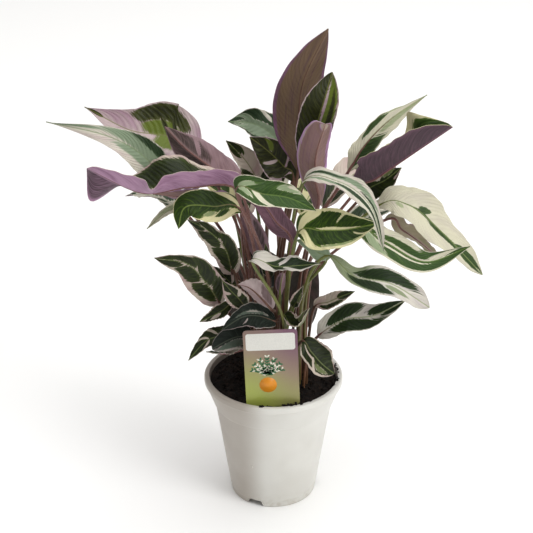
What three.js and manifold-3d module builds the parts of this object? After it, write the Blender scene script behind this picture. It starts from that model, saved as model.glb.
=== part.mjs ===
import * as THREE from 'three';
import { mergeVertices } from 'three/addons/utils/BufferGeometryUtils.js';
import Module from 'manifold-3d';

// A calathea in its nursery pot. Millimetres, +Z up, origin in the middle of the pot's flat underside,
// and the plant's front, with the label, towards -Y.

const clearance = 0.35;

const pot = {
  height: 134.5,
  rimRadius: 70,
  rimInside: 65,
  lipRadius: 68.4,
  lipHeight: 7.5,
  lipUnder: 1.2,
  lipRound: 1.5,
  lipInset: 0.8,
  collarRadius: 60.8,
  collarBottom: 105,
  collarStep: 1,
  collarInset: 0.4,
  bodyRadius: 59,
  ringHeight: 82,
  ringRadius: 55.6,
  ringStep: 0.6,
  baseRadius: 43.5,
  bandHeight: 6.5,
  bandInset: 0.6,
  footChamfer: 0.8,
  footRing: 1.6,
  channelInside: 30,
  channelSlant: 1,
  channelHeight: 7,
  wall: 1.4,
  sides: 26,
};
const notch = { count: 3, turn: -25, footWidth: 18, topWidth: 12.5, height: 6.6, reach: 5 };
const drainHole = { radius: 3.5, place: 36.5, length: 4.2, sides: 8 };
const soil = {
  top: 130,
  rings: 4,
  edgeDrop: 1,
  edgeGap: 2,
  broadLumps: { x: 0.31, y: 0.37, start: 1, height: 1.1 },
  fineLumps: { x: 0.83, y: 0.61, start: 2, height: 0.8 },
};
const footHole = { above: 9, sides: 6 };
const label = {
  width: 52.5, height: 85.5, thickness: 0.8, corner: 4, y: -56, x: -0.3, turn: 2.4,
  stakeDepth: 18, stakeWidth: 22, stakeTip: 8, cornerSteps: 4,
};
const leafPanels = 4;
const petioleSteps = 3;
const rootDepth = 14;
const bladeThickness = 0.8;
const ribThickness = 1.3;
const tipHalfWidth = 0.6;
const footRise = 1;
const stemBow = { out: 0.26, up: 0.58 };
const waveShift = 0.35;
const calmWidth = 1.6;
const flatCurl = 1e-3;
const splineTension = 0.5;
const mergeWithin = 1e-4;

const colours = {
  plastic: { color: 0xe9e7e0, roughness: 0.45, metalness: 0 },
  peat: { color: 0x2b211b, roughness: 0.95, metalness: 0 },
  card: { color: 0x8a8350, roughness: 0.4, metalness: 0 },
  green: { color: 0x3f5f38, roughness: 0.5, metalness: 0 },
  cream: { color: 0xcfc9ae, roughness: 0.5, metalness: 0 },
  mauve: { color: 0x7a5a6a, roughness: 0.5, metalness: 0 },
};

const wasm = await Module();
wasm.setup();

// A closed geometry as a solid for joining and cutting.
function solidOf(geometry) {
  const bare = geometry.clone();
  bare.deleteAttribute('normal');
  bare.deleteAttribute('uv');
  const merged = mergeVertices(bare, mergeWithin);
  const vertProperties = new Float32Array(merged.attributes.position.array);
  const triVerts = new Uint32Array(merged.index.array);
  return new wasm.Manifold(new wasm.Mesh({ numProp: 3, vertProperties, triVerts }));
}

function geometryOf(solid) {
  const mesh = solid.getMesh();
  const geometry = new THREE.BufferGeometry();
  geometry.setAttribute('position', new THREE.BufferAttribute(new Float32Array(mesh.vertProperties), 3));
  geometry.setIndex(new THREE.BufferAttribute(new Uint32Array(mesh.triVerts), 1));
  return geometry;
}

const rad = THREE.MathUtils.degToRad;
const plant = new THREE.Group();

function addPiece(name, geometry, look) {
  const mesh = new THREE.Mesh(geometry, new THREE.MeshStandardMaterial(look));
  mesh.name = name;
  plant.add(mesh);
  return mesh;
}

// Lathe round Z: the profile is a list of [radius, height].
function lathe(profile, sides) {
  const geometry = new THREE.LatheGeometry(profile.map(([r, z]) => new THREE.Vector2(r, z)), sides);
  return geometry.rotateX(Math.PI / 2);
}

const channelTop = pot.channelHeight + pot.wall;

// The wall's outside at a height between the foot and the ring step.
function taperAt(z) {
  return THREE.MathUtils.lerp(pot.baseRadius, pot.ringRadius, z / pot.ringHeight);
}

// The wall's inside, from the channel's floor to the lip: [radius, height].
const innerWall = [
  [taperAt(channelTop) - pot.wall, channelTop],
  [pot.ringRadius - pot.wall, pot.ringHeight],
  [pot.bodyRadius - pot.wall, pot.collarBottom - pot.collarStep],
  [pot.collarRadius - pot.wall - pot.collarInset, pot.collarBottom + pot.collarStep],
  [pot.rimInside - pot.lipInset / 2, pot.height - pot.lipInset],
];

// The floor's inside, from the middle out: a low disc, then the step up over the channel.
const innerFloor = [
  [0, pot.wall],
  [pot.channelInside - pot.wall, pot.wall],
  [pot.channelInside - pot.wall + pot.channelSlant, channelTop],
];

// The pot: a rolled lip and a flared collar over a tapering wall with one faint ring step. It stands on
// the middle of its floor and on a foot ring; drain notches in the ring lead to holes over the channel.
function makePot() {
  const profile = [
    [0, 0],
    [pot.channelInside, 0],
    [pot.channelInside + pot.channelSlant, pot.channelHeight],
    [pot.baseRadius - pot.footRing, pot.channelHeight],
    [pot.baseRadius - pot.footRing, 0],
    [pot.baseRadius - pot.footChamfer, 0],
    [pot.baseRadius, pot.footChamfer],
    [taperAt(pot.bandHeight) - pot.bandInset, pot.bandHeight],
    [taperAt(pot.bandHeight + pot.bandInset), pot.bandHeight + pot.bandInset],
    [pot.ringRadius, pot.ringHeight],
    [pot.ringRadius + pot.ringStep, pot.ringHeight + pot.ringStep],
    [pot.bodyRadius, pot.collarBottom - pot.collarStep],
    [pot.collarRadius, pot.collarBottom],
    [pot.lipRadius, pot.height - pot.lipHeight],
    [pot.rimRadius, pot.height - pot.lipHeight + pot.lipUnder],
    [pot.rimRadius, pot.height - pot.lipRound],
    [pot.rimRadius - pot.lipRound, pot.height],
    [pot.rimInside, pot.height],
    ...innerWall.toReversed(),
    ...innerFloor.toReversed(),
  ];
  let body = solidOf(lathe(profile, pot.sides));
  for (let i = 0; i < notch.count; i += 1) {
    const turn = rad(notch.turn) + (2 * Math.PI * i) / notch.count;
    body = body.subtract(solidOf(notchShape().rotateZ(turn)));
    const { radius, length, sides } = drainHole;
    const hole = new THREE.CylinderGeometry(radius, radius, length, sides);
    hole.rotateX(Math.PI / 2);
    hole.translate(0, -drainHole.place, channelTop - pot.wall / 2);
    body = body.subtract(solidOf(hole.rotateZ(turn)));
  }
  return geometryOf(body);
}

// A tapering block across the foot ring's front, standing a little under the ground.
function notchShape() {
  const [foot, top] = [notch.footWidth / 2, notch.topWidth / 2];
  const outline = new THREE.Shape();
  outline.moveTo(-foot, -pot.wall);
  outline.lineTo(foot, -pot.wall);
  outline.lineTo(foot, 0);
  outline.lineTo(top, notch.height);
  outline.lineTo(-top, notch.height);
  outline.lineTo(-foot, 0);
  const block = new THREE.ExtrudeGeometry(outline, { depth: notch.reach, bevelEnabled: false });
  block.rotateX(Math.PI / 2);
  return block.translate(0, notch.reach - pot.baseRadius - pot.footRing / 2, 0);
}

// The leaves stand on feet in the soil; each spec is one leaf, foot to tip.
const leafDefaults = {
  petiole: 1.5, halfWidth: 15, steps: 8, widest: 0.4, shape: [0.6, 0.95], fold: [10, 10], curl: [10, 10],
  wave: [2, 2, 0], bends: [], flare: [], look: 'green',
};
const leaves = [
  // Crown.
  {
    name: 'leaf_crown_tall', foot: [3.5, 7.5],
    blade: [[23, 6, 353], [23, 8, 397], [27, 8, 443], [49, 2, 496]],
    face: [-0.12, 1, 0.1], halfWidth: 25, shape: [0.8, 0.95], fold: [10, 14],
    look: 'mauve',
  },
  {
    name: 'leaf_crown_green', foot: [7.5, 3],
    blade: [[31, -8, 363], [38, -16, 404], [46, -18, 435], [53, -8, 458]],
    face: [-0.3, -0.85, 0.4], halfWidth: 19, shape: [0.6, 0.8], fold: [20, 10], curl: [10, 15],
  },
  {
    name: 'leaf_crown_rolled', foot: [4.5, -8.5],
    blade: [[40, -32, 330], [38, -42, 365], [38, -46, 392], [46, -48, 423]],
    face: [-0.15, 1, 0.1], halfWidth: 21, shape: [0.5, 0.3], fold: [25, 25], curl: [42, 42],
    wave: [0, 1, 0], petiole: 2.4, look: 'mauve',
  },
  {
    name: 'leaf_rear_left', foot: [-1.5, 17.5],
    blade: [[20, 40, 347], [2, 44, 372], [-19, 46, 386], [-44, 40, 391]],
    face: [0.2, -0.6, 0.8], halfWidth: 20, fold: [10, 15], wave: [3, 2.5, 0],
  },
  {
    name: 'leaf_centre_striped', foot: [0.5, 11.5],
    blade: [[19, 14, 339], [9, 18, 354], [-6, 20, 369], [-23, 20, 383]],
    face: [-0.2, -0.8, 0.5], halfWidth: 19, fold: [15, 10], wave: [2, 3, 0],
  },
  {
    name: 'leaf_centre_pale', foot: [-6.5, 19],
    blade: [[-7, 30, 318], [-17, 36, 334], [-28, 40, 351], [-46, 38, 372]],
    face: [0.3, -0.7, 0.6], halfWidth: 17, fold: [15, 15],
  },
  // Left side.
  {
    name: 'leaf_left_high', foot: [-11.5, 13],
    blade: [[-73, 24, 364], [-101, 24, 382], [-137, 20, 390], [-177, 8, 418]],
    face: [0, -0.75, 0.7], halfWidth: 32, shape: [0.7, 1.25], fold: [12, 12], curl: [15, 15],
    wave: [2, 2, 0.3],
  },
  {
    name: 'leaf_left_long', foot: [-16, 0.5],
    blade: [[-95, -9, 337], [-118, -17, 375], [-153, -21, 400], [-209, -25, 416]],
    face: [0.05, -0.7, 0.7], halfWidth: 17, shape: [0.6, 1.4], fold: [5, 5], wave: [2, 2, 0.1],
  },
  {
    name: 'leaf_left_upright', foot: [-11, 4], stem: [-29, 15, 257],
    blade: [[-34, -20, 346], [-58, -18, 367], [-82, -16, 386], [-101, -14, 407]],
    face: [0.1, 0.9, -0.1], halfWidth: 18, fold: [15, 15],
    look: 'mauve',
  },
  {
    name: 'leaf_left_banded', foot: [-7.5, 8.5],
    blade: [[-9, 8, 323], [-32, 6, 353], [-53, 6, 369], [-74, 6, 385]],
    face: [0.2, -0.2, 0.9], halfWidth: 13, fold: [5, -30],
    look: 'cream',
  },
  {
    name: 'leaf_left_inner', foot: [-6.5, 13.5],
    blade: [[-17, 18, 314], [-29, 20, 328], [-38, 22, 340], [-54, 24, 353]],
    face: [0.1, -0.7, 0.7], halfWidth: 10, fold: [15, 15], wave: [1, 2, 0],
    steps: 7,
  },
  {
    name: 'leaf_left_folded', foot: [-12, -9],
    blade: [[-32, -36, 351], [-77, -50, 362], [-121, -56, 359], [-169, -60, 385]],
    face: [0, 0, 1], halfWidth: 31, shape: [0.5, 0.6], fold: [50, 15], curl: [5, 0], wave: [1, 2, 0],
    bends: [[0, 0.6, 0.08, -24], [1, 0.48, 0.2, 45], [1, 0.9, 0.12, -105]],
    flare: [[1, 0.9, 0.08, 12]], steps: 14, look: 'mauve',
  },
  {
    name: 'leaf_left_shaded', foot: [-13, -3.5],
    blade: [[-38, -26, 330], [-62, -34, 343], [-85, -38, 347], [-115, -42, 352]],
    face: [0.1, 0.7, 0.5], halfWidth: 12, wave: [1, 2, 0],
    steps: 8, look: 'mauve',
  },
  {
    name: 'leaf_left_green', foot: [-7.5, -11.5],
    blade: [[-30, -44, 334], [-56, -54, 344], [-81, -62, 347], [-88, -66, 327]],
    face: [0, -0.75, 0.7], halfWidth: 16, fold: [5, -10],
  },
  {
    name: 'leaf_left_sliver', foot: [-24, -8.5], stem: [-26, -6, 236],
    blade: [[-55, -16, 310], [-79, -20, 327], [-100, -26, 326], [-120, -30, 310]],
    face: [0, -0.6, 0.8], halfWidth: 7, fold: [20, 20], wave: [1, 2, 0],
    steps: 7, look: 'cream',
  },
  {
    name: 'leaf_left_drooping', foot: [-7, -19.5], stem: [-37, -16, 252],
    blade: [[-40, -14, 254], [-46, -22, 284], [-61, -26, 305], [-82, -28, 319]],
    face: [-0.3, -0.8, 0.5], halfWidth: 14, fold: [15, 15], wave: [2, 3, 0],
  },
  {
    name: 'leaf_left_low', foot: [-23, -3.5],
    blade: [[-52, -16, 222], [-65, -26, 250], [-83, -34, 275], [-113, -40, 284]],
    face: [-0.25, -0.7, 0.6], halfWidth: 18, fold: [15, 15], wave: [2, 2.5, 0],
  },
  // Right side.
  {
    name: 'leaf_right_narrow', foot: [24, 12], stem: [30, 12, 262],
    blade: [[71, 10, 351], [86, 14, 377], [110, 22, 400], [145, 30, 422]],
    face: [-0.5, -0.45, 0.8], halfWidth: 13, shape: [0.6, 1.1], fold: [5, -55], curl: [0, -20],
    look: 'cream',
  },
  {
    name: 'leaf_right_folded', foot: [27, -5], stem: [33, -6, 258],
    blade: [[77, -12, 340], [96, -18, 357], [124, -24, 381], [163, -30, 413]],
    face: [-0.3, -0.1, 0.95], halfWidth: 30, shape: [0.6, 0.6], fold: [10, 66], curl: [10, 12],
    wave: [2, 2, 0.2], bends: [[0, 0.86, 0.12, 50]], flare: [[0, 0.82, 0.08, 14]], look: 'mauve',
  },
  {
    name: 'leaf_right_dark', foot: [26, 3], stem: [33, 3, 252],
    blade: [[81, 4, 324], [92, 2, 338], [106, 0, 347], [121, 2, 359]],
    face: [0.1, -0.7, 0.7], halfWidth: 15,
    steps: 8,
  },
  {
    name: 'leaf_right_cream', foot: [32, -1], stem: [37, -4, 250],
    blade: [[96, -20, 327], [126, -26, 333], [160, -24, 303], [203, -12, 252]],
    face: [0.1, -0.55, 0.8], halfWidth: 21, shape: [0.7, 0.8], fold: [10, 5], curl: [0, 10],
    wave: [3, 2.5, 0], look: 'cream',
  },
  {
    name: 'leaf_right_long', foot: [26, -13], stem: [31, -22, 243],
    blade: [[72, -50, 320], [103, -58, 309], [141, -60, 290], [183, -52, 302]],
    face: [0, -0.8, 0.6], halfWidth: 13.5, wave: [2, 2.5, 0],
  },
  {
    name: 'leaf_right_under', foot: [31, 7], stem: [37, 6, 240],
    blade: [[107, 4, 303], [125, 6, 292], [145, 8, 276], [163, 10, 259]],
    face: [0.2, 0.8, 0.4], halfWidth: 10,
    steps: 7, look: 'mauve',
  },
  {
    name: 'leaf_right_waved', foot: [24, -20], stem: [28, -30, 238],
    blade: [[48, -60, 296], [75, -72, 281], [109, -76, 275], [146, -72, 248]],
    face: [0.1, -0.7, 0.7], halfWidth: 14, shape: [1.2, 0.7], fold: [15, 10], wave: [3, 2.5, 0],
  },
  {
    name: 'leaf_right_inner', foot: [6, -2], stem: [17, -14, 218],
    blade: [[49, -40, 280], [41, -44, 292], [32, -46, 301], [21, -48, 307]],
    face: [0, -0.7, 0.7], halfWidth: 8, wave: [1, 2, 0],
    steps: 7,
  },
  {
    name: 'leaf_right_low', foot: [30, -21],
    blade: [[43, -36, 197], [68, -48, 222], [96, -54, 230], [125, -54, 246]],
    face: [-0.1, -0.7, 0.7], halfWidth: 15, wave: [2, 2.5, 0],
  },
  {
    name: 'leaf_right_small', foot: [33, -12],
    blade: [[40, -16, 218], [53, -18, 225], [65, -18, 231], [79, -16, 236]],
    face: [0, -0.7, 0.7], halfWidth: 8, wave: [1, 2, 0],
    steps: 7,
  },
  // Front.
  {
    name: 'leaf_front_green', foot: [2, -14],
    blade: [[-34, -74, 368], [-9, -78, 367], [14, -78, 363], [38, -74, 349]],
    face: [0.1, -0.75, 0.65], halfWidth: 14, fold: [15, 15],
  },
  {
    name: 'leaf_front_mauve', foot: [0.5, -2.5],
    blade: [[17, -44, 301], [2, -38, 321], [-11, -32, 337], [-27, -28, 340]],
    face: [-0.2, 0.9, 0.2], halfWidth: 12, fold: [20, 20], wave: [1, 2, 0],
    steps: 8, look: 'mauve',
  },
  {
    name: 'leaf_front_white', foot: [9.5, -12],
    blade: [[26, -52, 366], [58, -68, 375], [86, -88, 360], [99, -98, 320]],
    face: [0.35, -0.5, 0.8], halfWidth: 11, fold: [10, 5], wave: [2, 2.5, 0],
    look: 'cream',
  },
  {
    name: 'leaf_front_broad', foot: [10.5, -17],
    blade: [[22, -62, 320], [44, -72, 328], [67, -76, 331], [94, -76, 337]],
    face: [0, -0.75, 0.65], halfWidth: 21,
  },
  {
    name: 'leaf_front_low', foot: [2, -26.5], stem: [9, -50, 223],
    blade: [[-20, -66, 293], [2, -72, 291], [22, -74, 293], [43, -70, 293]],
    face: [0.1, -0.2, 0.95], halfWidth: 12, fold: [15, 10],
  },
  {
    name: 'leaf_inner_mauve', foot: [-4, 4], stem: [-6, 0, 202],
    blade: [[-9, -9, 258], [-15, -8, 283], [-23, -8, 305], [-28, -6, 323]],
    face: [-0.2, 0.9, 0.2], halfWidth: 11, fold: [15, 15], wave: [1, 2, 0],
    steps: 7, look: 'mauve',
  },
  {
    name: 'leaf_inner_dark', foot: [-3, -9],
    blade: [[-4, -13, 248], [-5, -14, 259], [-6, -13, 271], [-8, -11, 285]],
    face: [0.1, -1, 0.2], halfWidth: 7, fold: [12, 12], wave: [1, 2, 0],
    steps: 6,
  },
  {
    name: 'leaf_inner_bud', foot: [4, -19],
    blade: [[6, -31, 237], [6, -34, 247], [7, -36, 257], [9, -37, 267]],
    face: [0, 1, 0.1], halfWidth: 7, shape: [0.6, 0.6], fold: [25, 25], curl: [45, 45],
    wave: [0, 1, 0], look: 'mauve',
    steps: 6,
  },
  {
    name: 'leaf_inner_folded', foot: [8.5, -21.5],
    blade: [[19, -39, 230], [22, -41, 238], [25, -42, 246], [28, -41, 255]],
    face: [-0.5, -0.8, 0.3], halfWidth: 7, fold: [35, 30], wave: [1, 2, 0],
    steps: 6,
  },
  {
    name: 'leaf_inner_low', foot: [-17, -11.5], stem: [-21, -12, 189],
    blade: [[-33, -7, 232], [-42, -8, 241], [-51, -8, 251], [-61, -7, 259]],
    face: [-0.4, -0.8, 0.5], halfWidth: 9, fold: [15, 15], wave: [1.5, 2, 0.3],
    steps: 6,
  },
  {
    name: 'leaf_inner_shaded', foot: [5.5, 15.5], stem: [9, 19, 180],
    blade: [[10, 36, 215], [-4, 36, 232], [-20, 35, 247], [-37, 32, 259]],
    face: [0.2, -0.8, 0.5], halfWidth: 16, fold: [10, 10], wave: [2, 2, 0.1],
    steps: 6,
  },
  // Low leaves round the rim.
  {
    name: 'leaf_rim_curled', foot: [7, -26.5], stem: [12, -37, 196],
    blade: [[10, -42, 223], [16, -48, 217], [26, -50, 218], [34, -48, 235]],
    face: [0, -0.4, 0.9], halfWidth: 12, fold: [35, 35], curl: [30, 30], wave: [0, 2, 0],
    steps: 7,
  },
  {
    name: 'leaf_rim_arched', foot: [-2, -22.5], stem: [5, -29, 210],
    blade: [[2, -46, 219], [-14, -50, 227], [-30, -54, 228], [-50, -56, 215]],
    face: [0, -0.4, 0.9], halfWidth: 14, fold: [-10, 5], wave: [1, 2, 0],
    steps: 8,
  },
  {
    name: 'leaf_rim_left', foot: [-11, -29.5], stem: [-10, -33, 169],
    blade: [[-23, -31, 193], [-31, -34, 196], [-42, -38, 195], [-60, -42, 186]],
    face: [-0.2, -0.7, 0.7], halfWidth: 14, shape: [0.5, 0.6], wave: [1, 2, 0],
    steps: 7,
  },
  {
    name: 'leaf_rim_thin', foot: [-16.5, -24],
    blade: [[-27, -34, 181], [-41, -36, 179], [-52, -38, 179], [-66, -38, 181]],
    face: [0, 0.3, 0.9], halfWidth: 6, fold: [0, 20], wave: [1, 2, 0],
    steps: 7, look: 'cream',
  },
  {
    name: 'leaf_rim_long', foot: [-14.5, -19],
    blade: [[-41, -26, 195], [-55, -27, 192], [-68, -29, 186], [-84, -31, 167]],
    face: [-0.3, -0.6, 0.7], halfWidth: 10, wave: [1, 2, 0],
    steps: 8,
  },
  {
    name: 'leaf_low_short', foot: [-19.5, -17], stem: [-24, -15, 188],
    blade: [[-37, -24, 226], [-50, -28, 221], [-60, -30, 216], [-72, -32, 211]],
    face: [-0.2, -0.6, 0.8], halfWidth: 8, wave: [1, 2, 0],
    steps: 7,
  },
  {
    name: 'leaf_low_small', foot: [-3.5, -15.5], stem: [-9, -19, 187],
    blade: [[-27, -32, 226], [-34, -36, 239], [-41, -38, 248], [-49, -40, 260]],
    face: [-0.4, -0.8, 0.5], halfWidth: 11, fold: [15, 15], wave: [1, 2, 0],
    steps: 7,
  },
  {
    name: 'leaf_low_curled', foot: [-5, -27.5], stem: [1, -23, 209],
    blade: [[-2, -48, 233], [-15, -53, 252], [-24, -55, 261], [-34, -57, 265]],
    face: [0, 0.8, 0.4], halfWidth: 12, fold: [20, 20], wave: [1, 2, 0],
    steps: 7, look: 'mauve',
  },
  {
    name: 'leaf_rim_right', foot: [12, -25],
    blade: [[28, -42, 195], [36, -46, 186], [47, -50, 174], [59, -50, 163]],
    face: [0.3, -0.6, 0.7], halfWidth: 16, shape: [0.8, 0.8],
    steps: 7,
  },
  // Back.
  {
    name: 'leaf_back_1', foot: [32, 14], stem: [38, 14, 240],
    blade: [[68, 17, 285], [102, 31, 299], [135, 49, 298], [164, 60, 290]],
    face: [-0.1, -0.02, 1], halfWidth: 19, fold: [12, 12], wave: [3, 2, 0],
    steps: 6,
  },
  {
    name: 'leaf_back_2', foot: [25, 19], stem: [32, 22, 250],
    blade: [[49, 38, 300], [78, 68, 322], [104, 100, 318], [129, 125, 300]],
    face: [-0.08, -0.06, 1], halfWidth: 22, fold: [10, 15], wave: [3, 2, 0.3],
    steps: 6,
  },
  {
    name: 'leaf_back_3', foot: [11, 19],
    blade: [[28, 53, 285], [42, 91, 299], [53, 130, 286], [66, 162, 262]],
    face: [-0.05, -0.09, 1], halfWidth: 21, fold: [15, 10], wave: [3, 2.5, 0.1],
    steps: 6,
  },
  {
    name: 'leaf_back_4', foot: [3, 20], stem: [6, 30, 228],
    blade: [[2, 58, 300], [-2, 100, 318], [-10, 142, 311], [-12, 178, 290]],
    face: [0, -0.1, 1], halfWidth: 22, fold: [12, 12], wave: [3, 2, 0.5],
    steps: 6,
  },
  {
    name: 'leaf_back_5', foot: [-4.5, 24], stem: [-9, 33, 221],
    blade: [[-23, 55, 285], [-43, 89, 302], [-67, 121, 292], [-83, 150, 270]],
    face: [0.04, -0.09, 1], halfWidth: 20, fold: [15, 10], wave: [3, 2, 0.2],
    steps: 6,
  },
  {
    name: 'leaf_back_6', foot: [-15, 17], stem: [-27, 19, 231],
    blade: [[-43, 48, 300], [-73, 73, 322], [-105, 95, 318], [-130, 117, 300]],
    face: [0.07, -0.07, 1], halfWidth: 22, fold: [10, 14], wave: [3, 2, 0.7],
    steps: 6,
  },
  {
    name: 'leaf_back_7', foot: [-20, 11],
    blade: [[-82, 17, 300], [-105, 26, 314], [-127, 36, 316], [-146, 42, 312]],
    face: [0.1, -0.02, 1], halfWidth: 16, fold: [12, 12], wave: [2, 2, 0.4],
    steps: 6,
  },
  {
    name: 'leaf_back_8', foot: [18.5, 17.5],
    blade: [[29, 46, 230], [30, 58, 222], [31, 66, 194], [33, 68, 148]],
    face: [0.1, 0.8, 0.5], halfWidth: 17, shape: [0.75, 0.45], fold: [8, 8], wave: [2, 2, 0.1],
    steps: 6,
  },
  {
    name: 'leaf_back_9', foot: [6.5, 29],
    blade: [[3, 52, 236], [0, 70, 228], [-1, 81, 198], [0, 84, 146]],
    face: [0, 0.8, 0.5], halfWidth: 18, shape: [0.75, 0.45], fold: [8, 8], wave: [2, 2, 0.3],
    steps: 6,
  },
  {
    name: 'leaf_back_10', foot: [-11, 27],
    blade: [[-26, 46, 228], [-29, 58, 220], [-31, 66, 192], [-33, 68, 148]],
    face: [-0.1, 0.8, 0.5], halfWidth: 17, shape: [0.75, 0.45], fold: [8, 8], wave: [2, 2, 0.6],
    steps: 6,
  },
];

function halfWidth(s, leaf) {
  const [rise, fall] = leaf.shape;
  const peak = rise / (rise + fall);
  const top = peak ** rise * (1 - peak) ** fall;
  return (leaf.halfWidth * s ** rise * (1 - s) ** fall) / top;
}

// Points and directions along the leaf, foot first, on one smooth curve.
function spineOf(leaf) {
  const [x, y] = leaf.foot;
  const foot = new THREE.Vector3(x, y, soil.top + footRise);
  const root = new THREE.Vector3(x, y, soil.top - rootDepth);
  const blade = leaf.blade.map((point) => new THREE.Vector3(...point));
  const stem = leaf.stem
    ? new THREE.Vector3(...leaf.stem)
    : foot.clone().lerp(blade[0], stemBow.out).setZ(THREE.MathUtils.lerp(foot.z, blade[0].z, stemBow.up));
  const points = [root, foot, stem, ...blade];
  const curve = new THREE.CatmullRomCurve3(points, false, 'catmullrom', splineTension);
  const bladePoint = points.length - blade.length;
  const at = (u) => ({
    point: curve.getPoint(u / (points.length - 1)),
    along: curve.getTangent(u / (points.length - 1)),
  });
  const stations = [at(0), at(1)];
  for (let i = 1; i < petioleSteps; i += 1) {
    stations.push(at(1 + ((bladePoint - 1) * i) / petioleSteps));
  }
  const bladeStart = stations.length;
  for (let i = 0; i <= leaf.steps; i += 1) {
    stations.push(at(bladePoint + ((blade.length - 1) * i) / leaf.steps));
  }
  return { stations, bladeStart };
}

// The upper face's direction at each station: set at the widest part and carried both ways.
function faceStations(stations, widest, face) {
  const square = (normal, along) => normal.clone().addScaledVector(along, -normal.dot(along)).normalize();
  stations[widest].normal = square(new THREE.Vector3(...face).normalize(), stations[widest].along);
  for (let i = widest + 1; i < stations.length; i += 1) {
    stations[i].normal = square(stations[i - 1].normal, stations[i].along);
  }
  for (let i = widest - 1; i >= 0; i -= 1) {
    stations[i].normal = square(stations[i + 1].normal, stations[i].along);
  }
}

// A value of one half of the blade with its local changes: [side, place, reach, amount].
function withLocal(value, changes, side, s) {
  return changes
    .filter(([changedSide]) => changedSide === side)
    .reduce((sum, [, place, reach, amount]) => (
      sum + amount * Math.exp(-(((s - place) / reach) ** 2))
    ), value);
}

// One ring of points round the petiole.
function petioleRing({ point, along, normal }, radius) {
  const across = new THREE.Vector3().crossVectors(along, normal);
  const count = 2 * (leafPanels + 1);
  const ring = [];
  for (let k = 0; k < count; k += 1) {
    const angle = Math.PI * (1 - (2 * k + 1) / count);
    ring.push(point.clone()
      .addScaledVector(across, radius * Math.cos(angle))
      .addScaledVector(normal, radius * Math.sin(angle)));
  }
  return ring;
}

// One ring of points round the blade: the upper face left to right, then the lower face back.
function bladeRing({ point, along, normal }, s, leaf) {
  const across = new THREE.Vector3().crossVectors(along, normal);
  const plain = s < 1 ? Math.max(halfWidth(s, leaf), tipHalfWidth) : tipHalfWidth;
  const upper = [];
  const lower = [];
  for (let j = 0; j <= leafPanels; j += 1) {
    const v = (2 * j) / leafPanels - 1;
    const side = v > 0 ? 1 : 0;
    const out = side ? 1 : -1;
    const q = Math.abs(v);
    const width = s < 1 ? withLocal(plain, leaf.flare, side, s) : plain;
    const fold = rad(withLocal(leaf.fold[side], leaf.bends, side, s));
    const curl = rad(leaf.curl[side]) || flatCurl;
    const end = fold + curl * q;
    const reach = (width * (Math.sin(end) - Math.sin(fold))) / curl;
    const [amplitude, waves, phase] = leaf.wave;
    const calm = Math.min(1, (calmWidth * plain) / leaf.halfWidth);
    const wave = amplitude * Math.sin(2 * Math.PI * (waves * s + phase + waveShift * side)) * q * q * calm;
    const lift = (width * (Math.cos(fold) - Math.cos(end))) / curl + wave;
    const middle = point.clone().addScaledVector(across, out * reach).addScaledVector(normal, lift);
    const tilt = q > 0 ? end : 0;
    const thick = THREE.MathUtils.lerp(ribThickness, bladeThickness, Math.min(1, 2 * q)) / 2;
    const outward = normal.clone().multiplyScalar(Math.cos(tilt))
      .addScaledVector(across, -out * Math.sin(tilt)).multiplyScalar(thick);
    upper.push(middle.clone().add(outward));
    lower.unshift(middle.sub(outward));
  }
  return [...upper, ...lower];
}

// Rings joined into one closed skin, split alike on both faces of the blade.
function skin(rings) {
  const count = rings[0].length;
  const last = rings.length - 1;
  const position = rings.flat().flatMap((p) => [p.x, p.y, p.z]);
  const index = [];
  for (let i = 0; i < last; i += 1) {
    for (let k = 0; k < count; k += 1) {
      const a = i * count + k;
      const b = i * count + ((k + 1) % count);
      const [c, d] = [b + count, a + count];
      if (k <= leafPanels) {
        index.push(a, b, c, a, c, d);
      } else {
        index.push(a, b, d, b, c, d);
      }
    }
  }
  for (let j = 0; j < leafPanels; j += 1) {
    const [a, b, c, d] = [j, j + 1, count - 2 - j, count - 1 - j];
    index.push(a, c, b, a, d, c);
    const top = last * count;
    index.push(top + a, top + b, top + c, top + a, top + c, top + d);
  }
  const geometry = new THREE.BufferGeometry();
  geometry.setAttribute('position', new THREE.Float32BufferAttribute(position, 3));
  geometry.setIndex(index);
  return geometry;
}

function makeLeaf(given) {
  const leaf = { ...leafDefaults, ...given };
  const { stations, bladeStart } = spineOf(leaf);
  faceStations(stations, bladeStart + Math.round(leaf.steps * leaf.widest), leaf.face);
  const rings = stations.map((station, i) => (
    i <= bladeStart
      ? petioleRing(station, leaf.petiole)
      : bladeRing(station, (i - bladeStart) / leaf.steps, leaf)
  ));
  return skin(rings);
}

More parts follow.
